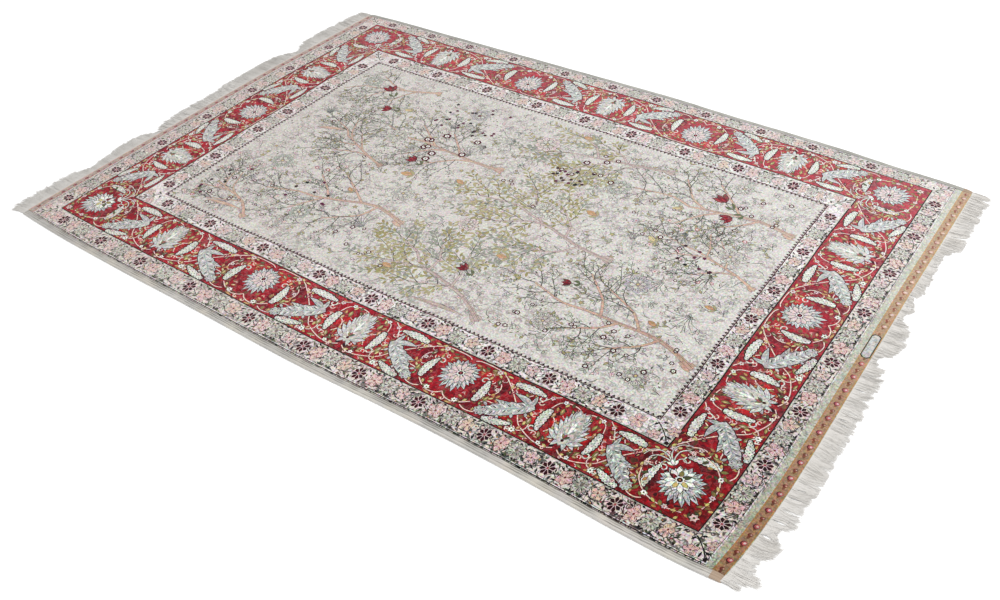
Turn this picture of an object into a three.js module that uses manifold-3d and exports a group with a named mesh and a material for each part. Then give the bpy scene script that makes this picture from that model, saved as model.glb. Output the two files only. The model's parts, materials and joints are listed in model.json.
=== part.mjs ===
// A hand-knotted silk rug that lies flat on the floor, in millimetres.
// +X runs along its length, +Y across it to the back long side, and +Z up from the floor.
// The origin is on the floor, under the middle of the rug and its two fringes.
import * as THREE from "three";
import { mergeVertices } from "three/addons/utils/BufferGeometryUtils.js";
import Module from "manifold-3d";

const wasm = await Module();
wasm.setup();

// Driving dimensions.
const PILE_THICKNESS = 4;
const BAND_THICKNESS = 2.2;
const BAND_WIDTH = { left: 12, right: 30 };
const SELVEDGE_WIDTH = { front: 13, back: 10 };
const SIDE_STEPS = 44;
const END_STEPS = 24;
const SELVEDGE_END_SHORT = 1.4;
const SEAM_GAP = 0.3;
const FRINGE_REACH = 801.5;
const ROOT_STRIP = { width: 3, margin: 1.5 };
const LOCK = { count: 130, width: 5.6, thickness: 1.6 };

// The long sides as they lie: the outer edge of each selvedge, at places along the length.
const LONG_EDGES = [
  { x: -757, back: 522, front: -518 },
  { x: -700, back: 525, front: -522.5 },
  { x: -600, back: 527.5, front: -528 },
  { x: -450, back: 529, front: -531 },
  { x: -300, back: 531, front: -532 },
  { x: -150, back: 533, front: -534 },
  { x: 0, back: 535, front: -535.5 },
  { x: 110, back: 535.5, front: -533.5 },
  { x: 200, back: 532.5, front: -531 },
  { x: 300, back: 529.5, front: -529.5 },
  { x: 400, back: 528, front: -530 },
  { x: 500, back: 525, front: -532.5 },
  { x: 600, back: 518, front: -535 },
  { x: 700, back: 514.5, front: -534.5 },
  { x: 767, back: 509, front: -530 },
];

// The two short ends of the woven cloth as they lie, at places across the width.
const CLOTH_ENDS = [
  { y: -536, left: -747, right: 751.5 },
  { y: -520, left: -747.5, right: 754 },
  { y: -455, left: -749, right: 761 },
  { y: -360, left: -750.5, right: 766 },
  { y: -260, left: -752.5, right: 767 },
  { y: -120, left: -754, right: 766 },
  { y: 20, left: -756, right: 765 },
  { y: 180, left: -757, right: 764 },
  { y: 310, left: -752, right: 764 },
  { y: 516, left: -748.5, right: 763.5 },
  { y: 536, left: -748, right: 763 },
];

// How far the loose fringe reaches past the cloth: worn gaps come between fuller stretches.
const FRINGE_LENGTHS = {
  left: [
    { y: -522, length: 35 },
    { y: -486, length: 40 },
    { y: -370, length: 38 },
    { y: -344, length: 23 },
    { y: -312, length: 29 },
    { y: -235, length: 37 },
    { y: -187, length: 30 },
    { y: -168, length: 12 },
    { y: -150, length: 27 },
    { y: -100, length: 36 },
    { y: 20, length: 38 },
    { y: 60, length: 45 },
    { y: 220, length: 43 },
    { y: 252, length: 32 },
    { y: 274, length: 17 },
    { y: 292, length: 30 },
    { y: 320, length: 42 },
    { y: 411, length: 44 },
    { y: 483, length: 40 },
    { y: 516, length: 33 },
  ],
  right: [
    { y: -524, length: 27 },
    { y: -505, length: 42 },
    { y: -488, length: 20 },
    { y: -450, length: 38 },
    { y: -420, length: 22 },
    { y: -400, length: 33 },
    { y: -235, length: 35 },
    { y: -80, length: 31 },
    { y: -52, length: 26 },
    { y: -30, length: 9 },
    { y: -12, length: 24 },
    { y: 12, length: 34 },
    { y: 52, length: 33 },
    { y: 91, length: 11 },
    { y: 117, length: 20 },
    { y: 145, length: 10 },
    { y: 164, length: 19 },
    { y: 290, length: 17 },
    { y: 312, length: 35 },
    { y: 516, length: 35 },
  ],
};

// A lock seen from above, from root to tip: how far along, how wide, and how far it has swung.
const LOCK_STATIONS = [
  { along: 0, width: 1, swing: 0 },
  { along: 0.4, width: 0.92, swing: 0.2 },
  { along: 0.78, width: 0.62, swing: 0.65 },
  { along: 1, width: 0, swing: 1 },
];

// A selvedge across its width, from the cloth outwards: two low cords and a fuller outer one.
const SELVEDGE_PROFILE = [
  { across: 0, height: 0 },
  { across: 0, height: 2.2 },
  { across: 0.14, height: 2.8 },
  { across: 0.3, height: 2.2 },
  { across: 0.45, height: 2.9 },
  { across: 0.6, height: 2.3 },
  { across: 0.8, height: 3.6 },
  { across: 0.94, height: 3 },
  { across: 1, height: 1.6 },
  { across: 0.95, height: 0 },
];

const PILE_COLOUR = 0xa9434f;
const SELVEDGE_COLOUR = 0xaaa7a4;
const FRINGE_COLOUR = 0xd9d0ca;

// A smooth curve through one column of a table, read at any place along it.
function readTable(rows, key, column, at) {
  const last = rows.length - 1;
  const place = THREE.MathUtils.clamp(at, rows[0][key], rows[last][key]);
  let i = 0;
  while (i < last - 1 && rows[i + 1][key] < place) i += 1;
  const slope = (k) => {
    const before = rows[Math.max(k - 1, 0)];
    const after = rows[Math.min(k + 1, last)];
    return (after[column] - before[column]) / (after[key] - before[key]);
  };
  const step = rows[i + 1][key] - rows[i][key];
  const t = (place - rows[i][key]) / step;
  const start = rows[i][column] * (1 + 2 * t) * (1 - t) ** 2;
  const end = rows[i + 1][column] * t * t * (3 - 2 * t);
  const startSlope = slope(i) * step * t * (1 - t) ** 2;
  const endSlope = slope(i + 1) * step * t * t * (t - 1);
  return start + end + startSlope + endSlope;
}

const longEdge = (side, x) => readTable(LONG_EDGES, "x", side, x);
const clothEnd = (end, y) => readTable(CLOTH_ENDS, "y", end, y);
const outward = (side) => (side === "right" || side === "back" ? 1 : -1);

// Even steps from one value to another, both ends included.
function steps(from, to, count) {
  return Array.from({ length: count + 1 }, (_, i) => from + ((to - from) * i) / count);
}

// Where the cloth's corner lies: inset is how far inside the selvedge's outer edge.
function corner(end, side, inset, shortBy) {
  const y = longEdge(side, clothEnd(end, 0)) - outward(side) * inset;
  return { x: clothEnd(end, y) - outward(end) * shortBy, y };
}

function extrude(points, thickness) {
  const shape = new THREE.Shape(points.map(([x, y]) => new THREE.Vector2(x, y)));
  return new THREE.ExtrudeGeometry(shape, { depth: thickness, bevelEnabled: false });
}

// The cloth inside its selvedges, seen from above, each end held back by shortBy.
function clothOutline(shortBy) {
  const inset = { front: SELVEDGE_WIDTH.front + SEAM_GAP, back: SELVEDGE_WIDTH.back + SEAM_GAP };
  const frontLeft = corner("left", "front", inset.front, shortBy.left);
  const frontRight = corner("right", "front", inset.front, shortBy.right);
  const backRight = corner("right", "back", inset.back, shortBy.right);
  const backLeft = corner("left", "back", inset.back, shortBy.left);
  const longSide = (side, from, to) =>
    steps(from.x, to.x, SIDE_STEPS).map((x) => [x, longEdge(side, x) - outward(side) * inset[side]]);
  const shortEnd = (end, from, to) =>
    steps(from.y, to.y, END_STEPS).map((y) => [clothEnd(end, y) - outward(end) * shortBy[end], y]);
  return [
    ...longSide("front", frontLeft, frontRight).slice(0, -1),
    ...shortEnd("right", frontRight, backRight).slice(0, -1),
    ...longSide("back", backRight, backLeft).slice(0, -1),
    ...shortEnd("left", backLeft, frontLeft).slice(0, -1),
  ];
}

function toSolid(geometry) {
  const bare = geometry.clone();
  bare.deleteAttribute("normal");
  bare.deleteAttribute("uv");
  const merged = mergeVertices(bare, 1e-4);
  return new wasm.Manifold(
    new wasm.Mesh({
      numProp: 3,
      vertProperties: new Float32Array(merged.getAttribute("position").array),
      triVerts: new Uint32Array(merged.index.array),
    }),
  );
}

function toGeometry(solid) {
  const mesh = solid.getMesh();
  const geometry = new THREE.BufferGeometry();
  geometry.setAttribute("position", new THREE.BufferAttribute(mesh.vertProperties, 3));
  geometry.setIndex(new THREE.BufferAttribute(mesh.triVerts, 1));
  geometry.computeVertexNormals();
  return geometry;
}

// The woven cloth in one piece: full pile between two thinner flat-woven ends.
function wovenCloth() {
  const ground = toSolid(extrude(clothOutline({ left: 0, right: 0 }), BAND_THICKNESS));
  const pile = toSolid(extrude(clothOutline(BAND_WIDTH), PILE_THICKNESS));
  return toGeometry(ground.add(pile));
}

// A corded edge along one long side: its profile swept along the edge as it lies.
function selvedge(side) {
  const width = SELVEDGE_WIDTH[side];
  const left = corner("left", side, width / 2, SELVEDGE_END_SHORT).x;
  const right = corner("right", side, width / 2, SELVEDGE_END_SHORT).x;
  const inner = (x) => longEdge(side, x) - outward(side) * width;
  const path = new THREE.CatmullRomCurve3(
    steps(left, right, SIDE_STEPS).map((x) => new THREE.Vector3(x, inner(x), 0)),
  );
  // Swept along +X, the section's own x points down and its own y points to the back.
  const section = new THREE.Shape(
    SELVEDGE_PROFILE.map(
      ({ across, height }) => new THREE.Vector2(-height, outward(side) * across * width),
    ),
  );
  return new THREE.ExtrudeGeometry(section, { steps: SIDE_STEPS, extrudePath: path });
}

// A small repeatable unevenness between -1 and 1, different for each lock.
function uneven(lock, seed) {
  const wave = Math.sin(lock * 12.9898 + seed * 78.233) * 43758.5453;
  return (wave - Math.floor(wave)) * 2 - 1;
}

// How far the tips swing to one side: slow waves that neighbouring locks share.
function sharedSwing(y, end) {
  const phase = end === "left" ? 0.6 : 2.1;
  return 4.5 * Math.sin(y / 61 + phase) + 2.5 * Math.sin(y / 23 + 2 * phase);
}

// The root strip's edge at one place: 0 is beside the cloth, 1 is where the locks leave it.
function stripEdge(end, y, share) {
  const x = clothEnd(end, y) + outward(end) * (SEAM_GAP + ROOT_STRIP.width * share);
  return [x, y];
}

// One lock of fringe seen from above: round its tip from one side of its root to the other.
function lockOutline(end, index, rootY) {
  const seed = end === "left" ? 1 : 2;
  const [rootX] = stripEdge(end, rootY, 1);
  const hang = readTable(FRINGE_LENGTHS[end], "y", "length", rootY);
  const length = hang * (1 + 0.07 * uneven(index, seed + 2));
  const reach = Math.abs(clothEnd(end, rootY)) + length;
  const tipX = outward(end) * Math.min(reach, FRINGE_REACH);
  const width = LOCK.width * (1 + 0.12 * uneven(index, seed + 4));
  const swing = (sharedSwing(rootY, end) + 0.8 * uneven(index, seed + 6)) * (length / 40);
  const at = (station, edge) => [
    rootX + (tipX - rootX) * station.along,
    rootY + swing * station.swing + (edge * width * station.width) / 2,
  ];
  const [root, ...rest] = LOCK_STATIONS;
  const out = rest.map((station) => at(station, -1));
  const home = rest.slice(0, -1).map((station) => at(station, 1));
  const rootCorner = (edge) => stripEdge(end, at(root, edge)[1], 1);
  return [rootCorner(-1), ...out, ...home.reverse(), rootCorner(1)];
}

// A fringe in one piece: flat locks side by side on the floor, joined by their root strip.
function fringe(end) {
  const front = corner(end, "front", 0, 0).y + ROOT_STRIP.margin;
  const back = corner(end, "back", 0, 0).y - ROOT_STRIP.margin;
  const seed = end === "left" ? 1 : 2;
  const indexes = Array.from({ length: LOCK.count }, (_, index) => index);
  const pitch = (back - front - 2 * LOCK.width) / (LOCK.count - 1);
  const rootY = (index) => front + LOCK.width + index * pitch + 0.5 * uneven(index, seed);
  const outline = [
    stripEdge(end, front, 1),
    ...indexes.flatMap((index) => lockOutline(end, index, rootY(index))),
    stripEdge(end, back, 1),
    ...steps(back, front, END_STEPS).map((y) => stripEdge(end, y, 0)),
  ];
  return extrude(outline, LOCK.thickness);
}

function piece(name, geometry, colour, roughness) {
  const material = new THREE.MeshStandardMaterial({ color: colour, roughness, metalness: 0 });
  const mesh = new THREE.Mesh(geometry, material);
  mesh.name = name;
  return mesh;
}

const rug = new THREE.Group();
rug.add(piece("woven_cloth", wovenCloth(), PILE_COLOUR, 0.7));
for (const side of ["front", "back"]) {
  rug.add(piece(`selvedge_${side}`, selvedge(side), SELVEDGE_COLOUR, 0.75));
}
for (const end of ["left", "right"]) {
  rug.add(piece(`fringe_${end}`, fringe(end), FRINGE_COLOUR, 0.65));
}

export default rug;
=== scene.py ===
"""A hand-knotted silk rug with a flowering field and a red border, lying flat on a pale floor."""

import cmath
import json
import math
import random

import bpy
import numpy as np
from bpy.props import FloatProperty, FloatVectorProperty, IntProperty, PointerProperty
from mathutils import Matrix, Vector
from mathutils.bvhtree import BVHTree
from mathutils.geometry import delaunay_2d_cdt

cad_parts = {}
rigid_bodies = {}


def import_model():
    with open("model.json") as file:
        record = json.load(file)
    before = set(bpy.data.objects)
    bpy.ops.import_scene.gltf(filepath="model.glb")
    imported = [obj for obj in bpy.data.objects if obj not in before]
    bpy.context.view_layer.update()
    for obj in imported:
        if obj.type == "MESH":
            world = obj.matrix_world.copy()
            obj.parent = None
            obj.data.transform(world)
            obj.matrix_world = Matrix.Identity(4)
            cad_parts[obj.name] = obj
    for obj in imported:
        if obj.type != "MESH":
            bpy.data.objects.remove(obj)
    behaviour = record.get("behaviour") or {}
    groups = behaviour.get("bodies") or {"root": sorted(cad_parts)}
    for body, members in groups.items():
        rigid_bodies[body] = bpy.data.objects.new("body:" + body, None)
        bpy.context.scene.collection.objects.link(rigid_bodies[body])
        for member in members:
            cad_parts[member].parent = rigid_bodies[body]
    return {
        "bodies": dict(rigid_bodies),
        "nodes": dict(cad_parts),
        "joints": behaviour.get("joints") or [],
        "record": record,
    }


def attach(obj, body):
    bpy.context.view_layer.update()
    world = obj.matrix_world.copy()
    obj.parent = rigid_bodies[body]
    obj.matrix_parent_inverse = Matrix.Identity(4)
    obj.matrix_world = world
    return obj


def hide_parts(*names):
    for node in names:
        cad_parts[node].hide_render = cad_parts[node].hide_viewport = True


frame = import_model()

bl_info = {
    "name": "Knotted rug",
    "version": (1, 0, 0),
    "blender": (4, 5, 0),
    "location": "3D View > Sidebar > Rug",
    "description": "Weaves a knotted rug, its selvedges and its fringes over the packed model",
    "category": "Object",
}

MILLIMETRE = 0.001

# The edges as they lie, in millimetres, with the same tables as in the CAD source.
# Long sides: a place along the length, then the outer edge of the back and the front selvedge.
LONG_EDGES = {
    "x": [-757, -700, -600, -450, -300, -150, 0, 110, 200, 300, 400, 500, 600, 700, 767],
    "back": [522, 525, 527.5, 529, 531, 533, 535, 535.5, 532.5, 529.5, 528, 525, 518, 514.5, 509],
    "front": [
        -518, -522.5, -528, -531, -532, -534, -535.5, -533.5, -531, -529.5, -530, -532.5, -535,
        -534.5, -530,
    ],
}

# Short ends of the woven cloth: a place across the width, then the left and the right end.
CLOTH_ENDS = {
    "y": [-536, -520, -455, -360, -260, -120, 20, 180, 310, 516, 536],
    "left": [-747, -747.5, -749, -750.5, -752.5, -754, -756, -757, -752, -748.5, -748],
    "right": [751.5, 754, 761, 766, 767, 766, 765, 764, 764, 763.5, 763],
}

# How far the loose fringe reaches past the cloth: worn gaps come between fuller stretches.
FRINGE_LENGTHS = {
    "left": {
        "y": [-522, -486, -370, -344, -312, -235, -187, -168, -150, -100, 20, 60, 220, 252, 274, 292,
              320, 411, 483, 516],
        "length": [35, 40, 38, 23, 29, 37, 30, 12, 27, 36, 38, 45, 43, 32, 17, 30, 42, 44, 40, 33],
    },
    "right": {
        "y": [-524, -505, -488, -450, -420, -400, -235, -80, -52, -30, -12, 12, 52, 91, 117, 145, 164,
              290, 312, 516],
        "length": [27, 42, 20, 38, 22, 33, 35, 31, 26, 9, 24, 34, 33, 11, 20, 10, 19, 17, 35, 35],
    },
}

BAND_WIDTH = {"left": 12.0, "right": 30.0}
SELVEDGE_WIDTH = {"front": 13.0, "back": 10.0}
SEAM_GAP = 0.3
FRINGE_REACH = 801.5


def read_table(table, key, column, place):
    """A smooth curve through one column of a table, read at any place along it."""
    keys, values = table[key], table[column]
    last = len(keys) - 1
    place = min(max(place, keys[0]), keys[last])
    i = 0
    while i < last - 1 and keys[i + 1] < place:
        i += 1

    def slope(k):
        before, after = max(k - 1, 0), min(k + 1, last)
        return (values[after] - values[before]) / (keys[after] - keys[before])

    step = keys[i + 1] - keys[i]
    t = (place - keys[i]) / step
    level = values[i] * (1 + 2 * t) * (1 - t) ** 2 + values[i + 1] * t * t * (3 - 2 * t)
    return level + step * (slope(i) * t * (1 - t) ** 2 + slope(i + 1) * t * t * (t - 1))


def long_edge(side, x):
    return read_table(LONG_EDGES, "x", side, x)


def cloth_end(end, y):
    return read_table(CLOTH_ENDS, "y", end, y)


def outward(side):
    return 1 if side in ("right", "back") else -1


def cloth_side(side, x):
    """The cloth's own long edge, just inside its selvedge."""
    return long_edge(side, x) - outward(side) * (SELVEDGE_WIDTH[side] + SEAM_GAP)


def steps(start, end, count):
    return [start + (end - start) * i / count for i in range(count + 1)]


def mesh_from(name, places, polygons):
    """A mesh object at the origin, from places in millimetres."""
    mesh = bpy.data.meshes.new(name)
    mesh.from_pydata([tuple(MILLIMETRE * v for v in place) for place in places], [], polygons)
    piece = bpy.data.objects.new(name, mesh)
    bpy.context.scene.collection.objects.link(piece)
    return piece


def select_only(piece):
    bpy.ops.object.select_all(action="DESELECT")
    piece.select_set(True)
    bpy.context.view_layer.objects.active = piece


# Shapes on the flat: a point is a complex number in millimetres, and a closed shape is a list of them.


def spin(degrees, size=1.0):
    return cmath.rect(size, math.radians(degrees))


def heading(way):
    return math.degrees(cmath.phase(way))


def blade(length, width, count=4, belly=0.5, bend=0.0):
    """A pointed leaf or petal from its root at 0 to its tip."""
    power = math.log(0.5) / math.log(belly)
    shares = [i / count for i in range(count + 1)]
    spine = [complex(length * t, bend * math.sin(math.pi * t)) for t in shares]
    half = [0.5 * width * math.sin(math.pi * t**power) for t in shares]
    under = [spine[i] - 1j * half[i] for i in range(1, count)]
    over = [spine[i] + 1j * half[i] for i in range(count - 1, 0, -1)]
    return [spine[0], *under, spine[-1], *over]


def disc(radius, sides=8, squash=1.0):
    around = [spin(360 * i / sides, radius) for i in range(sides)]
    return [complex(p.real, p.imag * squash) for p in around]


def star(outer, inner, points, first=0.0):
    radii = [outer, inner] * points
    return [spin(first + 180 * i / points, r) for i, r in enumerate(radii)]


def curve(points, per=3):
    """A smooth line through a few points."""
    ends = [2 * points[0] - points[1], *points, 2 * points[-1] - points[-2]]
    line = []
    for i in range(1, len(ends) - 2):
        a, b, c, d = ends[i - 1 : i + 3]
        for k in range(per):
            t = k / per
            turn = 2 * a - 5 * b + 4 * c - d
            pull = -a + 3 * b - 3 * c + d
            line.append(0.5 * (2 * b + (c - a) * t + turn * t**2 + pull * t**3))
    return [*line, points[-1]]


def ribbon(line, width, tip=1.0):
    """A narrow band along a line: tip is its width at the far end, as a share."""
    last = len(line) - 1
    left, right = [], []
    for i, point in enumerate(line):
        along = line[min(i + 1, last)] - line[max(i - 1, 0)]
        half = 0.5 * width * (1 + (tip - 1) * i / last) * 1j * along / abs(along)
        right.append(point - half)
        left.append(point + half)
    return right + left[::-1]


def coil(radius, turns, hand=1, count=7):
    """A tendril's curl, from its stem at 0 round to its inner end."""
    centre = 1j * hand * radius
    shares = [i / count for i in range(count + 1)]
    return [centre + spin(hand * (-90 + 360 * turns * t), radius * (1 - 0.62 * t)) for t in shares]


def sides_of(shape):
    return list(zip(shape, shape[1:] + shape[:1]))


def area(shape):
    return 0.5 * sum((p.conjugate() * q).imag for p, q in sides_of(shape))


def grow(shape, rim):
    """The shape with a rim of one width all round it."""
    away = -1j if area(shape) > 0 else 1j
    count = len(shape)
    grown = []
    for i, point in enumerate(shape):
        back = point - shape[i - 1]
        ahead = shape[(i + 1) % count] - point
        first, second = away * back / abs(back), away * ahead / abs(ahead)
        middle = first + second
        if abs(middle) < 0.4:
            middle = first
        middle /= abs(middle)
        reach = max((middle.conjugate() * first).real, 0.55)
        grown.append(point + middle * rim / reach)
    return grown


class Chart:
    """The rug's design: closed shapes in the order in which they cover each other."""

    SMALLEST = 0.25

    def __init__(self):
        self.shapes = []

    def add(self, shape, yarn):
        size = area(shape)
        if abs(size) > self.SMALLEST:
            self.shapes.append((shape if size > 0 else shape[::-1], yarn))


class Pen:
    """Draws on the chart from a place of its own, which may be turned, scaled or mirrored."""

    def __init__(self, chart, route=lambda point: point):
        self.chart = chart
        self.route = route

    def to(self, place, degrees=0.0, size=1.0, flip=False):
        turned = spin(degrees, size)
        route = self.route
        if flip:
            return Pen(self.chart, lambda p: route(place + turned * p.conjugate()))
        return Pen(self.chart, lambda p: route(place + turned * p))

    def fill(self, shape, yarn):
        self.chart.add([self.route(p) for p in shape], yarn)

    def drawn(self, shapes, yarn, line="ink", rim=0.8):
        """Shapes of one yarn that merge inside one outline."""
        for shape in shapes:
            self.fill(grow(shape, rim), line)
        for shape in shapes:
            self.fill(shape, yarn)


# Motifs. Each is drawn from its own root or middle, its tip along +x where it has one.


def leaf(pen, length, width, yarn, line="ink", bend=0.0):
    pen.drawn([blade(length, width, 3, 0.5, bend)], yarn, line, 0.6)


def floret(pen, radius=5.5, petals=6, yarn="snow", heart="moss", line="ink"):
    pen.drawn([star(radius, radius * 0.62, petals)], yarn, line, 0.6)
    pen.fill(disc(radius * 0.3, 5), heart)


def tendril(pen, radius, turns=0.9, hand=1, yarn="vine", width=1.6):
    pen.fill(ribbon(coil(radius, turns, hand), width, 0.9), yarn)


def vine(pen, points, width=1.7, yarn="vine", shade="bark", per=3):
    line = curve(points, per)
    pen.fill(ribbon([p + 0.55+0.55j for p in line], width + 0.7), shade)
    pen.fill(ribbon(line, width), yarn)


def plume(pen, length, width, bend=0.0, curl=0):
    """A long scalloped leaf with two rows of dots, and a curl at its root."""
    bumps = 7
    under, over, dots = [], [], []
    for i in range(2 * bumps + 1):
        share = i / (2 * bumps)
        fullness = math.sin(math.pi * (0.06 + 0.88 * share)) ** 0.42 * min(1, 0.62 + 0.9 * share)
        half = 0.5 * width * fullness * (1.08 if i % 2 else 0.80)
        middle = complex(length * share, bend * math.sin(math.pi * share))
        under.append(middle - 1j * half)
        over.append(middle + 1j * half)
        if i % 2:
            dots += [middle - 0.58j * half, middle + 0.58j * half]
        elif 0 < i < 2 * bumps:
            dots.append(middle)
    if curl:
        tendril(pen.to(2, 180), width * 0.5, 0.85, curl, "cream", 2.2)
    pen.drawn([under + over[::-1]], "cream", "ink", 1.7)
    for i, dot in enumerate(dots):
        pen.to(dot).fill([-1.5-0.8j, 1.4-0.7j, 0.2+1.3j], ("slate", "mist", "moss")[i % 3])


def petals(pen, specs, yarn, line, rim=0.7, count=4, belly=0.55):
    """Petals round a middle: each spec is its angle, inner radius, outer radius and width."""
    for angle, near, far, width in specs:
        petal = pen.to(spin(angle, near), angle)
        petal.drawn([blade(far - near, width, count, belly)], yarn, line, rim)


def veins(pen, length, width, yarns):
    """Short strokes of other yarns inside a petal that runs along +x."""
    for i, yarn in enumerate(yarns):
        across = (-0.22, 0.2, 0.0)[i % 3] * width
        at = pen.to(complex(length * (0.16 + 0.14 * i), across), (6, -7, 0)[i % 3])
        at.fill(blade(length * 0.46, width * 0.24, 2), yarn)


def star_palmette(pen, warm=False):
    """A palmette of many narrow petals, its longest along +x, round a small ringed heart."""
    pen.fill(disc(25, 14, 0.95), "ink")
    ring = []
    for k in range(-12, 12):
        ahead = math.cos(math.radians(15 * k))
        reach = 33 + 10 * max(ahead, 0) ** 3 + (3 if k % 2 else -1) - 4 * max(-ahead, 0)
        ring.append((15 * k, 13, reach, 9.8 if k % 2 else 8.6))
    order = sorted(ring, key=lambda spec: -abs(spec[0]))
    petals(pen, order, "cloud", "ink", 1.1, 3, 0.38)
    for i, (angle, near, far, width) in enumerate(order):
        petal = pen.to(spin(angle, near + 2), angle)
        veins(petal, far - near, width, (("snow", "mist"), ("mist", "slate"), ("blush", "mist"))[i % 3])
    inner = [(30 * k + 15, 6, 22 + (2.5 if k % 2 else 0), 9) for k in range(12)]
    heart = pen.to(-6 if warm else 0)
    petals(heart, inner, "snow" if warm else "blush", "slate", 0.9, 3)
    if warm:
        for angle, yarn in ((150, "olive"), (20, "straw"), (-50, "straw"), (215, "crimson"), (95, "moss")):
            heart.to(spin(angle, 4), angle).drawn([blade(14, 7, 3)], yarn, "ink", 0.6)
    heart.fill(star(7.5, 5.4, 8), "snow")
    heart.fill(disc(4.6, 8), "maroon")
    heart.fill(disc(1.8, 5), "sand" if warm else "rose")


def cone_palmette(pen):
    """A serrated palmette like a cone, its tip along +x, with a dark notch at its foot."""
    for side in (-1, 1):
        foot = pen.to(complex(-27, side * 4), 180 - side * 50)
        foot.fill(blade(12, 5, 3), "ink")
        tendril(pen.to(complex(-25, side * 13), 180 - side * 20), 4.2, 0.8, -side)
    sepals = [(158, 12, 33, 9), (-158, 12, 33, 9), (128, 14, 35, 9), (-128, 14, 35, 9)]
    petals(pen, sepals, "cloud", "ink", 1.0, 5, 0.4)
    rows = [(-16, 70, 33), (-10, 58, 35), (-3, 48, 34), (5, 39, 32), (13, 31, 30), (21, 23, 27), (29, 14, 22)]
    for i, (place, angle, reach) in enumerate(rows):
        for side in (-1, 1):
            at = pen.to(complex(place, side * 5), side * angle)
            at.drawn([blade(reach, 12, 4, 0.42)], "cloud", "ink", 1.1)
            veins(at.to(reach * 0.36), reach * 0.62, 9, ("snow", "mist") if i % 2 else ("blush", "snow"))
    body = pen.to(-24)
    body.drawn([blade(72, 37, 7, 0.4)], "pale", "mist", 1.0)
    for i in range(7):
        reach = 15 - 1.4 * i
        for side in (-1, 1):
            vein = body.to(complex(12 + 7.2 * i, side * 1.5), side * 46)
            vein.fill(blade(reach, 3.4, 3), ("snow", "mist", "blush", "leafgrey")[(i + (side > 0)) % 4])
    body.to(22).drawn([blade(36, 6.5, 4, 0.35)], "snow", "mist", 0.8)
    heart = pen.to(-8)
    for angle, yarn in ((-38, "olive"), (0, "rose"), (38, "moss")):
        heart.to(-3, angle).drawn([blade(11, 4.6, 3)], yarn, "ink", 0.5)
    heart.to(-6).fill(disc(3.2, 6), "maroon")


def forked_leaf(pen):
    """A long leaf across the border that forks at its tail and ends in a bud."""
    spine = curve([138+41j, 124+53j, 106+66j, 90+79j, 77+89j], 3)
    last = len(spine) - 1
    under, over = [], []
    for i, point in enumerate(spine):
        share = i / last
        along = spine[min(i + 1, last)] - spine[max(i - 1, 0)]
        normal = 1j * along / abs(along)
        half = 13.5 * math.sin(math.pi * (0.08 + 0.82 * share)) ** 0.6
        under.append(point - normal * half)
        over.append(point + normal * half * (1.02 if i % 2 else 0.8))
    body = under + over[::-1]
    tail = [blade(42, 11, 5, 0.4, 3), blade(33, 9, 4, 0.4, -2), blade(24, 8, 4, 0.45)]
    roots_of_tail = [pen.to(137+44j, 196), pen.to(112+55j, 172), pen.to(134+44j, 262)]
    prongs = list(zip(roots_of_tail, tail))
    for prong, shape in prongs:
        prong.fill(grow(shape, 1.4), "ink")
    pen.fill(grow(body, 1.5), "ink")
    for prong, shape in prongs:
        prong.fill(shape, "ash")
    pen.fill(body, "ash")
    for prong, shape in prongs:
        prong.to(5).fill(blade(abs(shape[len(shape) // 2]) * 0.62, 2.6, 3), "mist")
    pen.fill(ribbon(spine[2:-2], 2.0, 0.7), "mist")
    for i in range(1, last):
        for side in (-1, 1):
            along = spine[i + 1] - spine[i - 1]
            at = pen.to(spine[i], heading(along) + side * 50)
            at.to(2.0).fill(blade(10, 2.2, 3), ("slate", "snow", "mist")[(i + (side > 0)) % 3])
            at.to(3.5+2.2j).fill(blade(7, 1.5, 2), "dusk" if i % 2 else "snow")
    for share, side in ((0.2, 1), (0.42, 1), (0.64, 1), (0.5, -1), (0.8, -1)):
        point = spine[round(share * last)]
        barb = pen.to(point, 135 - side * 74).to(11)
        barb.drawn([blade(9, 5, 3)], "ash", "ink", 0.8)
    bud = pen.to(73+91j, 140)
    bud.drawn([star(10.5, 8.0, 8)], "ash", "ink", 0.9)
    rays(bud, range(0, 360, 45), 3.5, 5.5, 2.0, ("mist", "slate"))
    bud.fill(disc(2.6, 5), "fog")


# The main border's repeat, 210 mm from a star palmette to the next cone palmette and 106 mm across.

BORDER_PITCH = 210.0
BORDER_WIDTH = 106.0

VINES = {
    "long": [4+8j, 14+4j, 42+4j, 61+8j, 82+23j, 104+43j, 122+62j, 137+82j,
             153+91j, 172+98j, 192+100j, 206+93j],
    "star_tip": [89j, 8+96j, 22+99j, 38+93j, 50+84j],
    "cone_tip": [210+17j, 200+9j, 182+7j, 167+14j, 161+30j],
    "cross": [163+3j, 150+13j, 139+30j, 128+40j],
    "bud": [72+96j, 62+101j, 50+102j, 40+98j],
    "by_plume": [61+24j, 71+32j, 74+46j, 67+57j, 59+52j],
    "low": [94+26j, 104+33j, 116+31j, 124+22j],
    "under_leaf": [138+64j, 149+72j, 152+85j, 144+94j, 134+90j],
    "by_cone": [171+42j, 180+50j, 183+64j, 177+75j],
    "over_leaf": [92+58j, 84+68j, 70+70j, 62+80j],
}

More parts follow.
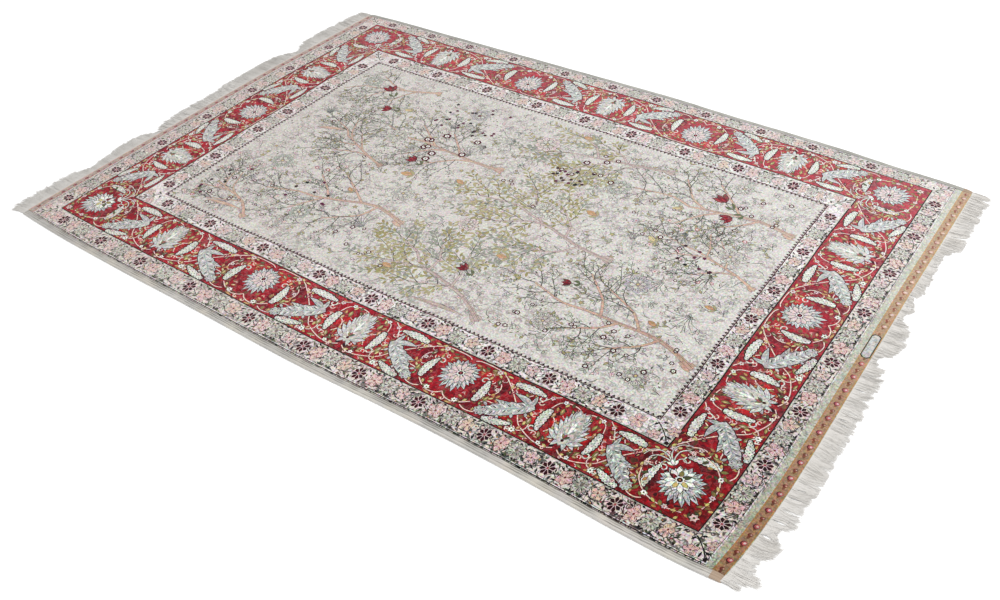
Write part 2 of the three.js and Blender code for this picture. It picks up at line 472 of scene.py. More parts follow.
SMALL_LEAVES = [
    # place, degrees, length, width, yarn
    (22+15j, 30, 12, 5, "olive"), (38+11j, -20, 11, 5, "olive"), (62+21j, 70, 13, 6, "moss"),
    (68+60j, 100, 14, 7, "olive"), (84+66j, 250, 10, 5, "sand"), (62+76j, 60, 10, 5, "moss"),
    (118+82j, 30, 16, 8, "olive"), (110+100j, 10, 14, 5, "sand"), (146+62j, 80, 16, 8, "olive"),
    (150+101j, -12, 14, 5, "olive"), (171+78j, 60, 13, 6, "olive"), (178+20j, 80, 15, 7, "olive"),
    (172+34j, 95, 12, 6, "sand"), (190+15j, 50, 11, 5, "moss"), (188+92j, 235, 12, 5, "moss"),
    (14+104j, -8, 15, 4, "sand"), (34+84j, 200, 9, 5, "sand"), (87+31j, 60, 11, 5, "plum"),
    (130+29j, 100, 9, 5, "plum"), (158+66j, 250, 10, 5, "plum"), (95+28j, 100, 10, 5, "rose"),
    (48+21j, 95, 10, 5, "sand"), (178+91j, 190, 10, 4, "sand"), (197+27j, 130, 9, 4, "olive"),
    (76+60j, 140, 9, 4, "straw"), (112+24j, 40, 10, 5, "olive"), (144+84j, 110, 10, 5, "sand"),
    (184+58j, 80, 11, 5, "straw"), (104+78j, 60, 9, 4, "sand"), (66+8j, 0, 11, 4, "straw"),
    (132+62j, 200, 9, 4, "straw"), (120+6j, 170, 11, 4, "olive"), (36+92j, 150, 9, 4, "olive"),
]

SMALL_FLOWERS = [
    # place, radius, petals, yarn, heart
    (27+94j, 5.6, 6, "snow", "moss"), (136+97j, 6.0, 6, "snow", "moss"), (52+9j, 6.0, 6, "blush", "rose"),
    (152+12j, 4.8, 5, "blush", "rose"), (183+97j, 4.6, 5, "snow", "olive"),
    (70+42j, 4.6, 5, "blush", "maroon"), (96+95j, 4.4, 5, "blush", "rose"),
    (174+9j, 4.6, 5, "snow", "moss"),
]

CURLS = [
    # place, degrees, radius, hand
    (58+30j, 60, 4.5, 1), (88+26j, -30, 5.0, -1), (148+28j, 80, 5.0, 1), (150+52j, 200, 4.5, -1),
    (100+103j, 160, 4.0, -1), (128+103j, 200, 4.5, 1), (164+88j, 240, 4.5, 1), (10+98j, 30, 3.6, 1),
    (37+24j, 40, 4.0, -1), (195+98j, 200, 3.6, -1),
]


# Patches of the neighbouring dye lots in the red ground.
PATCHES = [
    # place, degrees, length, width, yarn
    (8+12j, 20, 60, 22, "scarlet"), (70+10j, 80, 50, 26, "crimson"), (96+54j, 60, 52, 24, "scarlet"),
    (30+88j, 10, 46, 18, "crimson"), (150+34j, 70, 60, 24, "scarlet"), (176+84j, 30, 40, 20, "crimson"),
    (186+30j, 90, 56, 20, "scarlet"), (108+88j, 150, 40, 18, "crimson"), (52+44j, 100, 44, 18, "crimson"),
]

# Small strokes between the larger motifs.
FLECKS = [
    # place, degrees, yarn
    (33+22j, 110, "sand"), (31+70j, 60, "salmon"), (40+60j, 30, "sand"), (60+92j, 20, "straw"),
    (66+34j, 100, "salmon"), (78+16j, 20, "vine"), (92+10j, 160, "sand"), (98+70j, 40, "vine"),
    (104+28j, 70, "salmon"), (112+14j, 10, "olive"), (118+32j, 120, "sand"), (134+56j, 50, "salmon"),
    (142+74j, 140, "vine"), (154+38j, 100, "salmon"), (164+56j, 80, "straw"), (172+62j, 120, "sand"),
    (180+44j, 60, "salmon"), (184+70j, 100, "olive"), (192+84j, 150, "sand"), (158+98j, 10, "vine"),
    (120+98j, 170, "salmon"), (88+98j, 20, "olive"), (74+52j, 80, "sand"), (46+14j, 60, "salmon"),
    (20+98j, 0, "vine"), (126+48j, 100, "vine"), (196+10j, 30, "salmon"), (148+6j, 0, "sand"),
]


# Thin pale curls between the motifs.
WISPS = [
    # place, degrees, radius, hand
    (70+12j, 20, 7.5, 1), (106+34j, 60, 8.0, -1), (120+20j, 150, 7.0, 1), (60+66j, 100, 7.0, 1),
    (142+50j, 40, 7.5, -1), (158+84j, 190, 7.0, 1), (96+84j, 120, 6.5, -1), (184+34j, 70, 7.0, -1),
    (30+100j, 200, 6.0, 1), (188+76j, 250, 6.5, 1),
]


def border_vines(pen, near_corner):
    names = ["cone_tip", "cross", "bud", "by_plume", "low", "under_leaf", "by_cone", "over_leaf"]
    if not near_corner:
        names += ["star_tip"]
    for name in names:
        vine(pen, VINES[name])
    vine(pen, VINES["long"][3:] if near_corner else VINES["long"])
    for place, degrees, radius, hand in WISPS:
        if not near_corner or place.real > 46:
            pen.to(place, degrees).fill(ribbon(coil(radius, 0.62, hand, 5), 1.1, 0.8), "blush")


def border_repeat(pen, near_corner=False):
    """What lies between one star palmette, at 0, and the next cone palmette."""
    clear = 46 if near_corner else 0
    for place, degrees, length, width, yarn in PATCHES:
        if place.real > clear:
            pen.to(place, degrees).fill(blade(length, width, 5, 0.45, 4), yarn)
    border_vines(pen, near_corner)
    for place, degrees, yarn in FLECKS:
        if place.real > clear:
            pen.to(place, degrees).fill(blade(8.5, 2.6, 2, 0.4, 1.4), yarn)
            pen.to(place, degrees + 52).to(2).fill(blade(5.5, 2.0, 2), yarn)
    for i, (place, degrees, length, width, yarn) in enumerate(SMALL_LEAVES):
        if place.real > clear:
            at = pen.to(place, degrees)
            beside = at.to(-3, 150 + 60 * (i % 2))
            beside.drawn([blade(9, 4.6, 3)], ("sand", "moss", "straw")[i % 3], "bark", 0.6)
            at.drawn([blade(length, width, 3)], yarn, "bark", 0.7)
            at.to(2+0.4j).fill(blade(length * 0.6, width * 0.3, 2), "straw" if i % 2 else "peach")
    for place, degrees, radius, hand in CURLS:
        if place.real > clear:
            tendril(pen.to(place, degrees), radius, 0.85, hand)
    forked_leaf(pen)
    plume(pen.to(49+33j, 86), 48, 14.5, -3, -1)
    plume(pen.to(141+14j, 179), 54, 14, 2, 1)
    plume(pen.to(128+89j, 164), 46, 13, -2, 1)
    plume(pen.to(166+79j, 266), 47, 15, -3, 1)
    for place, radius, count, yarn, heart in SMALL_FLOWERS:
        if place.real > clear:
            floret(pen.to(place), radius, count, yarn, heart)


# The guards' repeat: from one rosette to the next, 124 mm along and 34 mm across.

GUARD_PITCH = 124.0
GUARD_WIDTH = 34.0


def rosette(pen, radius=10.6):
    """A dark flower of eight petals with a pale cross between them."""
    pen.fill(disc(radius, 10), "blush")
    for k in range(8):
        angle = 45 * k + 22.5
        petal = pen.to(spin(angle, radius * 0.18), angle)
        petal.fill(blade(radius * 0.92, radius * 0.56, 3, 0.62), "maroon" if k % 3 else "ink")
    pen.fill(disc(radius * 0.2, 5), "rose")


def rays(pen, angles, near, length, width, yarns):
    """Thin strokes that spread from a middle."""
    for i, angle in enumerate(angles):
        pen.to(spin(angle, near), angle).fill(blade(length, width, 2), yarns[i % len(yarns)])


def pink_flower(pen, yarn, line, size=1.0):
    """An open flower of five uneven petals drawn in thin line, with a stroke in each."""
    spread = [(8, 14.5), (72, 12.0), (138, 14.0), (214, 11.5), (292, 13.5)]
    around = [(pen.to(0j, angle, size), reach) for angle, reach in spread]
    for petal, reach in around:
        petal.fill(grow(blade(reach, 9.4, 3, 0.62), 0.8), line)
    for petal, reach in around:
        petal.fill(blade(reach, 9.4, 3, 0.62), yarn)
        petal.to(2.5+0.8j, 8).fill(blade(reach * 0.56, 1.6, 2), "salmon")
        petal.to(3.5-1.4j, -10).fill(blade(reach * 0.5, 1.3, 2), line)
    pen.fill(disc(2.0 * size, 5), "shadow")


def guard_palmette(pen, line):
    """A pale fan drawn in dark strokes."""
    fan = [spin(-20 + 13.75 * k, 11.5 if k % 2 else 15.5) for k in range(17)]
    pen.drawn([[-9j, *fan]], "pale", line, 0.8)
    rays(pen, range(4, 190, 22), 4, 8.5, 1.5, (line, "leafgrey"))
    for side in (-1, 1):
        pen.to(2 * side - 3j, -90 + side * 52).drawn([blade(11, 5, 3)], "pale", line, 0.6)
    pen.fill(disc(3.2, 5), "dusk")


GUARD_LEAVES = [
    # place, degrees, length
    (16+6j, 20, 10), (25+5j, -10, 8), (36+5j, 165, 10), (46+29j, 10, 10), (54+31j, -25, 8),
    (70+31j, 205, 8), (78+29j, 170, 10), (88+5j, 15, 10), (99+5j, 190, 8), (108+6j, 160, 10),
    (17+28j, -20, 10), (26+30j, 10, 8), (98+30j, 170, 8), (107+28j, 200, 10), (44+4j, 60, 7),
    (80+4j, 120, 7), (12+12j, 60, 7), (112+12j, 120, 7), (47+14j, 80, 8), (77+14j, 100, 8),
    (14+23j, 120, 9), (110+23j, 60, 9), (50+24j, 60, 9), (74+24j, 120, 9), (58+4j, 10, 8), (60+33j, -8, 9),
    (34+2j, 12, 8), (90+33j, 170, 8), (22+17j, 80, 7), (102+17j, 100, 7), (19+1j, 30, 8), (68+2j, -10, 9),
    (105+1j, 150, 8), (40+33j, -20, 8), (84+33j, 200, 8), (48+20j, 130, 7), (76+20j, 50, 7), (9+3j, 40, 8),
    (115+3j, 140, 8), (9+31j, -40, 8), (115+31j, 220, 8), (54+2j, 150, 7),
]

GUARD_SEEDS = [20+12j, 50+8j, 74+8j, 104+12j, 32+31j, 92+31j, 20+23j, 104+23j, 62+32j]

# The lines and leaves of a guard where it is drawn darkest, and where it is drawn palest.
DARK_TWIGS = ("night", ("night", "slate", "ink", "moss"))
PALE_TWIGS = ("stem", ("leafgrey", "stem", "moss", "stem"))


def guard_repeat(pen, seed, dark):
    """Twigs and flowers on the pale ground between two rosettes."""
    line, leaves = DARK_TWIGS if dark else PALE_TWIGS
    wave = curve([10+17j, 24+24j, 40+25j, 62+9j, 84+25j, 100+24j, 114+17j], 2)
    pen.fill(ribbon(wave, 1.2), line)
    for i, (place, degrees, length) in enumerate(GUARD_LEAVES):
        pen.to(place, degrees).fill(blade(length, 3.2, 2), leaves[(seed + i) % 4])
    for i, place in enumerate(GUARD_SEEDS):
        pen.to(place).fill([-2, -1.6j, 2, 1.6j], ("rose", "sand", "dusk")[(seed + i) % 3])
    first, second = ("shadow", "ink") if dark else ("dusk", "dusk")
    pink_flower(pen.to(33+17j, 20 + 50 * seed), "pink" if seed % 3 else "blush", first)
    pink_flower(pen.to(91+15j, 70 * seed), "blush" if seed % 2 else "peach", second, 0.9)
    guard_palmette(pen.to(62+15j), line)


def guard_corner(pen, dark):
    """A flowering sprig that fills a guard's corner, pointing outwards."""
    line = "night" if dark else "stem"
    pen.fill(ribbon(curve([-22-3j, -8, 8+1j, 19], 2), 1.8), line)
    for side in (-1, 1):
        pen.to(-9 + side * 1j, side * 44).fill(blade(15, 4.4, 3), "moss")
        pen.to(-20 + side * 3j, side * 70).fill(blade(9, 4, 3), line)
        pen.to(6 + side * 1j, side * 38).fill(blade(13, 3.6, 3), line)
        pink_flower(pen.to(complex(1, 15 * side), 90), "pink", "ink" if dark else "dusk", 0.82)
    pen.to(21).fill(star(4.6, 3.0, 5), "ink" if dark else "dusk")


# The design's rectangles on the cloth, in millimetres from the rug's middle.

# The rug's corners, counterclockwise from the front left one.
CORNERS = [("left", "front"), ("right", "front"), ("right", "back"), ("left", "back")]


class Frame:
    """A rectangle of the design, by its four sides."""

    def __init__(self, left, right, front, back):
        self.left, self.right, self.front, self.back = left, right, front, back

    def corner(self, x_side, y_side):
        return complex(getattr(self, x_side), getattr(self, y_side))

    def corners(self):
        return [self.corner(*sides) for sides in CORNERS]

    def grown(self, by):
        return Frame(self.left - by, self.right + by, self.front - by, self.back + by)

    def outline(self, inset=0.0, step=30.0):
        """The rectangle with points along its sides, so that it can follow the cloth."""
        points = []
        for start, end in sides_of(self.grown(-inset).corners()):
            points += steps(start, end, max(1, round(abs(end - start) / step)))[:-1]
        return points


GUARD_OUTSIDE = Frame(-732.5, 737.0, -519.5, 518.8)
RED_OUTSIDE = Frame(-694.5, 699.0, -476.0, 483.5)
RED_INSIDE = Frame(-597.0, 590.0, -367.5, 373.5)
FIELD = Frame(-552.0, 553.0, -325.0, 326.0)

# The middles of the main border's palmettes along each side; the first and last are the corners'.
PALMETTES = {
    "front": [-641, -430, -190, 40, 248, 458, 641],
    "back": [-641, -433, -190, 18, 232, 438, 641],
    "left": [-415, -216, 1, 210, 421],
    "right": [-415, -212, 2, 210, 421],
}


def side_pen(pen, side, along, edge):
    """A pen on one side of a frame: +x runs along the side and +y points to the rug's outside."""
    if side == "front":
        return pen.to(complex(along, edge), 0, flip=True)
    if side == "back":
        return pen.to(complex(along, edge))
    if side == "left":
        return pen.to(complex(edge, along), 90)
    return pen.to(complex(edge, along), 90, flip=True)


def stretched(pen, along, across):
    """The same pen, its sizes scaled along and across a border."""
    route = pen.route
    return Pen(pen.chart, lambda p: route(complex(p.real * along, p.imag * across)))


def main_border(pen):
    for side, places in PALMETTES.items():
        inside, outside = getattr(RED_INSIDE, side), getattr(RED_OUTSIDE, side)
        across = abs(outside - inside) / BORDER_WIDTH
        last = len(places) - 1
        for i in range(last):
            first, second = places[i], places[i + 1]
            star_at, cone_at = (first, second) if i % 2 == 0 else (second, first)
            stretch = (cone_at - star_at) / BORDER_PITCH
            place = side_pen(pen, side, star_at, inside)
            near_corner = star_at in (places[0], places[last])
            border_repeat(stretched(place, stretch, across), near_corner)
        for i, along in enumerate(places[1:-1], 1):
            place = stretched(side_pen(pen, side, along, inside), 1, across)
            if i % 2:
                cone_palmette(stretched(place.to(60j, -90), 1.0, 0.84))
            else:
                star_palmette(place.to(42j, 90, 0.95))
    for x_side, y_side in CORNERS:
        border_corner(pen, x_side, y_side)


# The stems that spread from a corner's palmette round the inner corner, on one side of its diagonal.
CORNER_STEMS = [
    [32+1j, 22+5j, 12+16j, 13+29j, 24+34j, 30+27j],
    [31+1j, 16+2j, 5+9j, 22j, 6+36j],
    [33+2j, 26+9j, 27+17j, 35+18j],
]


# Small leaves round a corner's palmette, on one side of its diagonal.
CORNER_LEAVES = [
    # place, degrees, length, yarn
    (48+42j, 60, 10, "sand"), (64+47j, 20, 9, "moss"), (84+46j, -10, 10, "straw"), (96+43j, 60, 9, "olive"),
    (110+27j, -60, 9, "straw"), (113+8j, 80, 10, "olive"), (122+12j, -40, 9, "sand"),
    (121+4j, 20, 9, "moss"), (28+52j, 120, 10, "olive"), (40+58j, 80, 9, "sand"), (70+60j, 0, 9, "olive"),
    (97+50j, -50, 9, "sand"), (108+40j, 10, 8, "moss"), (124+20j, 70, 8, "straw"), (20+40j, 50, 9, "straw"),
    (54+60j, 150, 8, "straw"),
]


def border_corner(pen, x_side, y_side):
    """A star palmette across the corner, its stems fanned from the inner corner."""
    inner, outer = RED_INSIDE.corner(x_side, y_side), RED_OUTSIDE.corner(x_side, y_side)
    at = pen.to(inner, heading(outer - inner))
    for path in CORNER_STEMS:
        for side in (-1, 1):
            stem = curve([complex(p.real, side * p.imag) for p in path], 3)
            at.fill(ribbon(stem, 3.6, 0.7), "ink")
            at.fill(ribbon(stem, 2.1, 0.6), "cream")
    for angle in (135, -135, 180):
        at.to(35, angle).drawn([blade(12, 5, 3)], "snow", "ink", 0.8)
    for side in (-1, 1):
        ring = [30 + side * 46j, 50 + side * 55j, 78 + side * 52j, 102 + side * 36j, 118 + side * 14j]
        vine(at, ring)
        leaf(at.to(60 + side * 57j, side * 70), 12, 6, "olive")
        leaf(at.to(90 + side * 36j, side * 10), 12, 6, "olive")
        leaf(at.to(40 + side * 38j, side * 100), 11, 5, "moss")
        leaf(at.to(108 + side * 20j, side * 30), 10, 5, "sand")
        floret(at.to(74 + side * 54j), 5.6, 6, "snow", "moss")
        floret(at.to(103 + side * 33j), 5.0, 6, "blush", "rose")
        tendril(at.to(22 + side * 30j, side * 60), 4.6, 0.85, side)
        for place, degrees, length, yarn in CORNER_LEAVES:
            leaf(at.to(complex(place.real, side * place.imag), side * degrees), length, 4.6, yarn, "bark")
    floret(at.to(131), 7.5, 6, "pink", "moss")
    star_palmette(at.to(68, 0, 0.98), y_side == "front")


# The rosettes' places along each side of the two guards.
OUTER_ROSETTES = {
    "front": [-657, -538, -422, -287, -135, -7, 113, 232, 357, 471, 585],
    "back": [-658, -533, -416, -287, -144, -19, 92, 212, 339, 452, 574],
    "left": [-446, -323, -198, -68, 71, 195, 325, 453],
    "right": [-449, -324, -201, -76, 64, 188, 316, 440],
}
INNER_ROSETTES = {
    "front": [-524, -399, -257, -114, 9, 130, 253, 371, 493],
    "back": [-528, -396, -254, -119, 2, 116, 241, 359, 474],
    "left": [-298, -173, -48, 42, 166, 292],
    "right": [-296, -173, -48, 39, 166, 293],
}


def drawn_dark(side, along):
    """Whether a guard's twigs are near-black there: towards the front right corner."""
    return side in ("front", "right") and along > (-200 if side == "front" else -600)


def guard_end(pen, side, inside, across, last, corner, seed):
    """What fills a guard between its last rosette and the corner."""
    gap = abs(corner - last) - 4
    place = stretched(side_pen(pen, side, last, inside), 1 if corner > last else -1, across)
    if gap > 66:
        guard_repeat(stretched(place, gap / GUARD_PITCH, 1), seed, drawn_dark(side, last))
    elif gap > 30:
        pink_flower(place.to(complex(0.62 * gap, 17), 30), "pink", "dusk")


def guard(pen, frame_in, frame_out, rosettes):
    """Rosettes and flowering twigs round one guard, with a sprig in each corner."""
    for side, places in rosettes.items():
        lengthwise = side in ("front", "back")
        low, high = (frame_in.left, frame_in.right) if lengthwise else (frame_in.front, frame_in.back)
        inside, outside = getattr(frame_in, side), getattr(frame_out, side)
        across = abs(outside - inside) / GUARD_WIDTH
        for i, (first, second) in enumerate(zip(places, places[1:])):
            place = stretched(side_pen(pen, side, first, inside), (second - first) / GUARD_PITCH, across)
            guard_repeat(place, i + len(side), drawn_dark(side, first))
        guard_end(pen, side, inside, across, places[0], low, 1)
        guard_end(pen, side, inside, across, places[-1], high, 2)
        for along in places:
            rosette(stretched(side_pen(pen, side, along, inside), 1, across).to(17j))
    for x_side in ("left", "right"):
        for y_side in ("front", "back"):
            inner, outer = frame_in.corner(x_side, y_side), frame_out.corner(x_side, y_side)
            dark = x_side == "right" and y_side == "front"
            guard_corner(pen.to((inner + outer) / 2, heading(outer - inner)), dark)


def sawtooth(pen, frame, pitch=8.5, depth=5.0):
    """Small dark teeth round the field that point inwards."""
    for start, end in sides_of(frame.corners()):
        count = round(abs(end - start) / pitch)
        step = (end - start) / count
        inward = 1j * step / abs(step) * depth
        for i in range(count):
            foot = start + step * (i + 0.12)
            pen.fill([foot, foot + step * 0.76, foot + step * 0.38 + inward], "ink")


# The field: a flowering garden that grows towards the rug's left end, on a pale ground.

TREES = [
    # root, degrees, length, seed, kind
    (543+196j, 184, 330, 3, "twigs"), (543-206j, 172, 350, 8, "twigs"), (300-40j, 168, 330, 5, "leaves"),
    (262+268j, 192, 300, 12, "leaves"), (196-296j, 158, 320, 7, "leaves"), (-30+96j, 178, 330, 10, "twigs"),
    (-86-150j, 186, 340, 14, "buds"), (-330+282j, 200, 250, 17, "twigs"), (-360-296j, 156, 240, 21, "buds"),
    (543+20j, 160, 220, 25, "buds"), (-250-20j, 158, 240, 29, "twigs"),
]

BANKS = [
    # place, degrees, length, width, yarn
    (60-306j, 4, 110, 8, "biscuit"), (-470-292j, 8, 90, 8, "branch"), (-470+30j, 20, 64, 9, "branch"),
]

TULIPS = [
    # place, degrees, size
    (-436+236j, 140, 1.0), (-386+170j, 200, 0.8), (388+232j, 150, 1.0), (420+190j, 228, 0.85),
    (-206+34j, 170, 0.75), (96-196j, 160, 0.7), (272-128j, 204, 0.6),
]

PEONIES = [
    # place, size, yarn
    (-300+90j, 1.0, "pale"), (-8+226j, 1.1, "blush"), (120+28j, 1.1, "pale"), (372-70j, 1.0, "lilac"),
    (-150-70j, 0.95, "pale"), (196+170j, 1.0, "fog"), (470+84j, 0.95, "pale"), (-440-110j, 1.0, "fog"),
    (-196+250j, 0.9, "lilac"), (20-84j, 0.8, "blush"), (-500+250j, 0.9, "fog"), (478-268j, 0.9, "pale"),
    (286-236j, 0.85, "pale"), (-280-226j, 0.9, "fog"), (400+290j, 0.8, "pale"),
]

ACCENTS = [
    # place, degrees, size, yarn
    (-176-8j, 200, 1.2, "sand"), (-70+18j, 160, 1.0, "sand"), (206+66j, 170, 1.1, "sand"),
    (336+52j, 150, 0.9, "straw"), (140-130j, 190, 1.0, "sand"), (-20-262j, 170, 1.0, "sand"),
    (-340+190j, 200, 0.8, "straw"), (450-150j, 160, 0.8, "sand"), (60+290j, 180, 1.0, "sand"),
    (-240-120j, 150, 0.8, "sand"), (330+170j, 210, 0.8, "straw"), (510-60j, 180, 0.8, "sand"),
]

RING_GROUPS = [
    # middle, spread along, spread across, how many, radius
    (-186+110j, 52, 62, 9, 8.6), (150+200j, 84, 50, 9, 7.2), (426-226j, 100, 66, 16, 5.4),
    (-100-226j, 80, 44, 8, 5.0), (-440-232j, 60, 50, 8, 5.4), (330+110j, 70, 60, 8, 5.2),
    (470+250j, 50, 50, 7, 5.6), (-420+96j, 60, 60, 6, 5.0), (250-250j, 60, 44, 6, 5.2),
    (40+70j, 60, 50, 5, 5.4),
]

BERRY_GROUPS = [
    # middle, spread along, spread across, how many
    (-196+226j, 76, 60, 26), (96+150j, 40, 34, 18), (-500-226j, 30, 60, 9), (420+40j, 40, 30, 9),
    (-300-160j, 60, 40, 8),
]


def in_field(pen, room=9.0):
    """Whether the pen's place is in the field, this far from its edge."""
    place = pen.route(0j)
    wide = FIELD.left + room < place.real < FIELD.right - room
    return wide and FIELD.front + room < place.imag < FIELD.back - room


def stroke(pen, length, bend=0.0, yarn="stem", width=1.2):
    """A thin curved line of one yarn."""
    middle = complex(length * 0.5, bend)
    pen.fill(ribbon(curve([0j, middle, complex(length, 0)], 2), width, 0.8), yarn)


def leaf_pairs(pen, rng, length, yarn, reach=14.0, width=6.0):
    """Leaves in pairs along a branch that runs along +x."""
    count = max(2, round(length / 14))
    for i in range(count):
        place = complex(length * (i + 0.6) / count, 0)
        for side in (-1, 1):
            at = pen.to(place, side * rng.uniform(30, 52)).to(1.5)
            if in_field(at, 17):
                at.fill(blade(reach * rng.uniform(0.85, 1.15), width, 3, 0.5), yarn)


def ring_rosette(pen, radius, yarn="maroon"):
    if not in_field(pen, radius + 4):
        return
    pen.fill(star(radius, radius * 0.78, 6), yarn)
    pen.fill(disc(radius * 0.5, 6), "snow")
    pen.fill(disc(radius * 0.22, 4), yarn)


def blossom(pen, size, yarn, line="stem"):
    """A small flower in outline."""
    if not in_field(pen, size + 4):
        return
    pen.drawn([star(size, size * 0.56, 5)], yarn, line, 0.7)
    pen.fill(disc(size * 0.3, 4), "rose" if size > 6 else "dusk")


def peony(pen, size, yarn):
    """A wide flower of two rows of petals, drawn in thin line."""
    outer = [(40 * k, 9 * size, 25 * size, 13 * size) for k in range(9)]
    inner = [(60 * k + 20, 4 * size, 14 * size, 9 * size) for k in range(6)]
    petals(pen, outer, yarn, "stem", 0.7, 4, 0.6)
    for angle, near, far, width in outer:
        petal = pen.to(spin(angle, near + 3), angle)
        for side in (-1, 0, 1):
            petal.to(side * 2.2j * size).fill(blade((far - near) * 0.6, 1.2, 2), "stem" if side else "fog")
    petals(pen, inner, "pale", "stem", 0.6, 3, 0.6)
    pen.fill(disc(4.6 * size, 7), "dusk")
    pen.fill(disc(2.6 * size, 5), "straw")


def tulip(pen, size):
    """A red flower on a leafy stem."""
    pen.fill(ribbon(curve([-40 * size, -20 * size + 3j, 0j], 3), 1.6), "stem")
    for side, reach in ((-1, 22), (1, 19)):
        leaf(pen.to(-30 * size, side * 26), reach * size, 6, "moss", "stem", side * 2)
    for angle in (-30, 30, 0):
        petal = pen.to(-4 * size, angle)
        petal.drawn([blade(29 * size, 12 * size, 4, 0.45)], "crimson", "ink", 0.9)
        petal.to(8 * size).fill(blade(12 * size, 2.6 * size, 2), "scarlet")


def accent(pen, size, yarn):
    """A warm bud between two leaves."""
    for side in (-1, 1):
        pen.to(-4, side * 46).drawn([blade(17 * size, 5.5 * size, 3)], "sage", "stem", 0.5)
    pen.drawn([blade(22 * size, 12 * size, 4, 0.5)], yarn, "dusk", 0.8)
    for side in (-1, 1):
        pen.to(3 + side * 2j * size).fill(blade(13 * size, 1.6, 2), "salmon" if side > 0 else "dusk")


def bank(pen, length, width, yarn):
    """A low bank with thin lines, for a tree to stand on."""
    pen.drawn([blade(length, width, 6, 0.45, 2)], yarn, "dusk", 0.8)
    for k in range(4):
        place = complex(length * (0.12 + 0.2 * k), width * (0.14 if k % 2 else -0.12))
        pen.to(place, 4 - 3 * k).fill(blade(length * 0.2, width * 0.16, 2), "blush" if k % 2 else "dusk")


def fern(pen, rng, reach, yarn="stem"):
    """A fan of thin curved lines with tiny leaves at their ends."""
    count = rng.choice((7, 9))
    for k in range(count):
        turn = -60 + 120 * k / (count - 1)
        at = pen.to(0j, turn)
        length = reach * (1 - 0.25 * abs(turn) / 60) * rng.uniform(0.9, 1.05)
        if in_field(at.to(complex(length, 0)), 8):
            stroke(at.to(4), length - 4, -0.12 * turn, yarn, 1.1)
            at.to(complex(length - 1, 0), -12).fill(blade(6, 2.8, 3), "fog" if k % 2 else "leafgrey")


BARKS = {"twigs": "branch", "leaves": "bough", "buds": "branch"}


def trunk(pen, line, width, tip, yarn):
    """A pale warm stem in outline, with two thin lines along its bark."""
    pen.fill(grow(ribbon(line, width, tip), 0.8), "dusk")
    pen.fill(ribbon(line, width, tip), yarn)
    if width > 6:
        for side in (-1, 1):
            inner = [p + side * 0.2j * width * (1 - 0.5 * i / len(line)) for i, p in enumerate(line)]
            pen.fill(ribbon(inner[:-1], 1.2, 0.8), "biscuit" if side > 0 else "dusk")


def roots(pen, width, yarn):
    """The foot of a trunk, spread in three."""
    foot = pen.to(width * 3, 180)
    spread = [foot.to(complex(0, side * 0.2 * width), side * 15) for side in (-1, 1, 0)]
    for root in spread:
        root.fill(grow(blade(width * 3.3, width * 0.9, 4, 0.6), 0.8), "dusk")
    for root in spread:
        root.fill(blade(width * 3.3, width * 0.9, 4, 0.6), yarn)


def tip_of(pen, rng, kind):
    """What grows at the end of a twig."""
    if kind == "buds" and rng.random() < 0.55:
        if rng.random() < 0.5:
            ring_rosette(pen, rng.uniform(3.8, 5.2), rng.choice(("maroon", "rose", "dusk")))
        else:
            blossom(pen, rng.uniform(5.5, 8), rng.choice(("pale", "blush", "lilac", "pink")))
        return
    for angle in (-42, 40):
        at = pen.to(0j, angle + rng.uniform(-12, 12))
        if in_field(at, 12):
            at.drawn([blade(rng.uniform(8, 11), 4.2, 3)], rng.choice(("pale", "fog", "sage")), "stem", 0.7)


def limb(pen, rng, length, width, depth, kind):
    """A branch with branches of its own."""
    if not in_field(pen, 7):
        return
    bend = rng.uniform(-0.16, 0.16) * length
    turns = [0j, complex(length * 0.35, bend), complex(length * 0.7, bend * 0.5), complex(length, 0)]
    line = curve(turns, 2 if depth else 1)
    if not in_field(pen.to(line[-1]), 10):
        return
    if depth > 1:
        trunk(pen, line, width, 0.5, BARKS[kind])
    else:
        pen.fill(ribbon(line, 1.9 if depth else 1.2, 0.6), "stem")
    if depth < 2 and kind == "leaves":
        leaf_pairs(pen, rng, length, rng.choice(("sage", "sage", "olive", "leafgrey")))
    elif depth < 2:
        for k in range(1, len(line) - 1, 2 if depth else 1):
            at = pen.to(line[k], rng.choice((-48, 44)))
            if in_field(at, 10):
                at.fill(blade(rng.uniform(6, 9), 2.4, 2), rng.choice(("stem", "leafgrey", "moss")))
    if depth == 0:
        if kind != "leaves":
            tip_of(pen.to(line[-1]), rng, kind)
        return
    count = 5 if depth > 1 else 3
    if depth == 1 and kind == "leaves":
        count = 2
    for k in range(count):
        share = 0.3 + 0.7 * k / (count - 1)
        place = line[min(round(share * (len(line) - 1)), len(line) - 1)]
        side = -1 if k % 2 else 1
        spread = side * rng.uniform(26, 54) if k < count - 1 else rng.uniform(-14, 14)
        limb(pen.to(place, spread), rng, length * rng.uniform(0.4, 0.6), width * 0.55, depth - 1, kind)


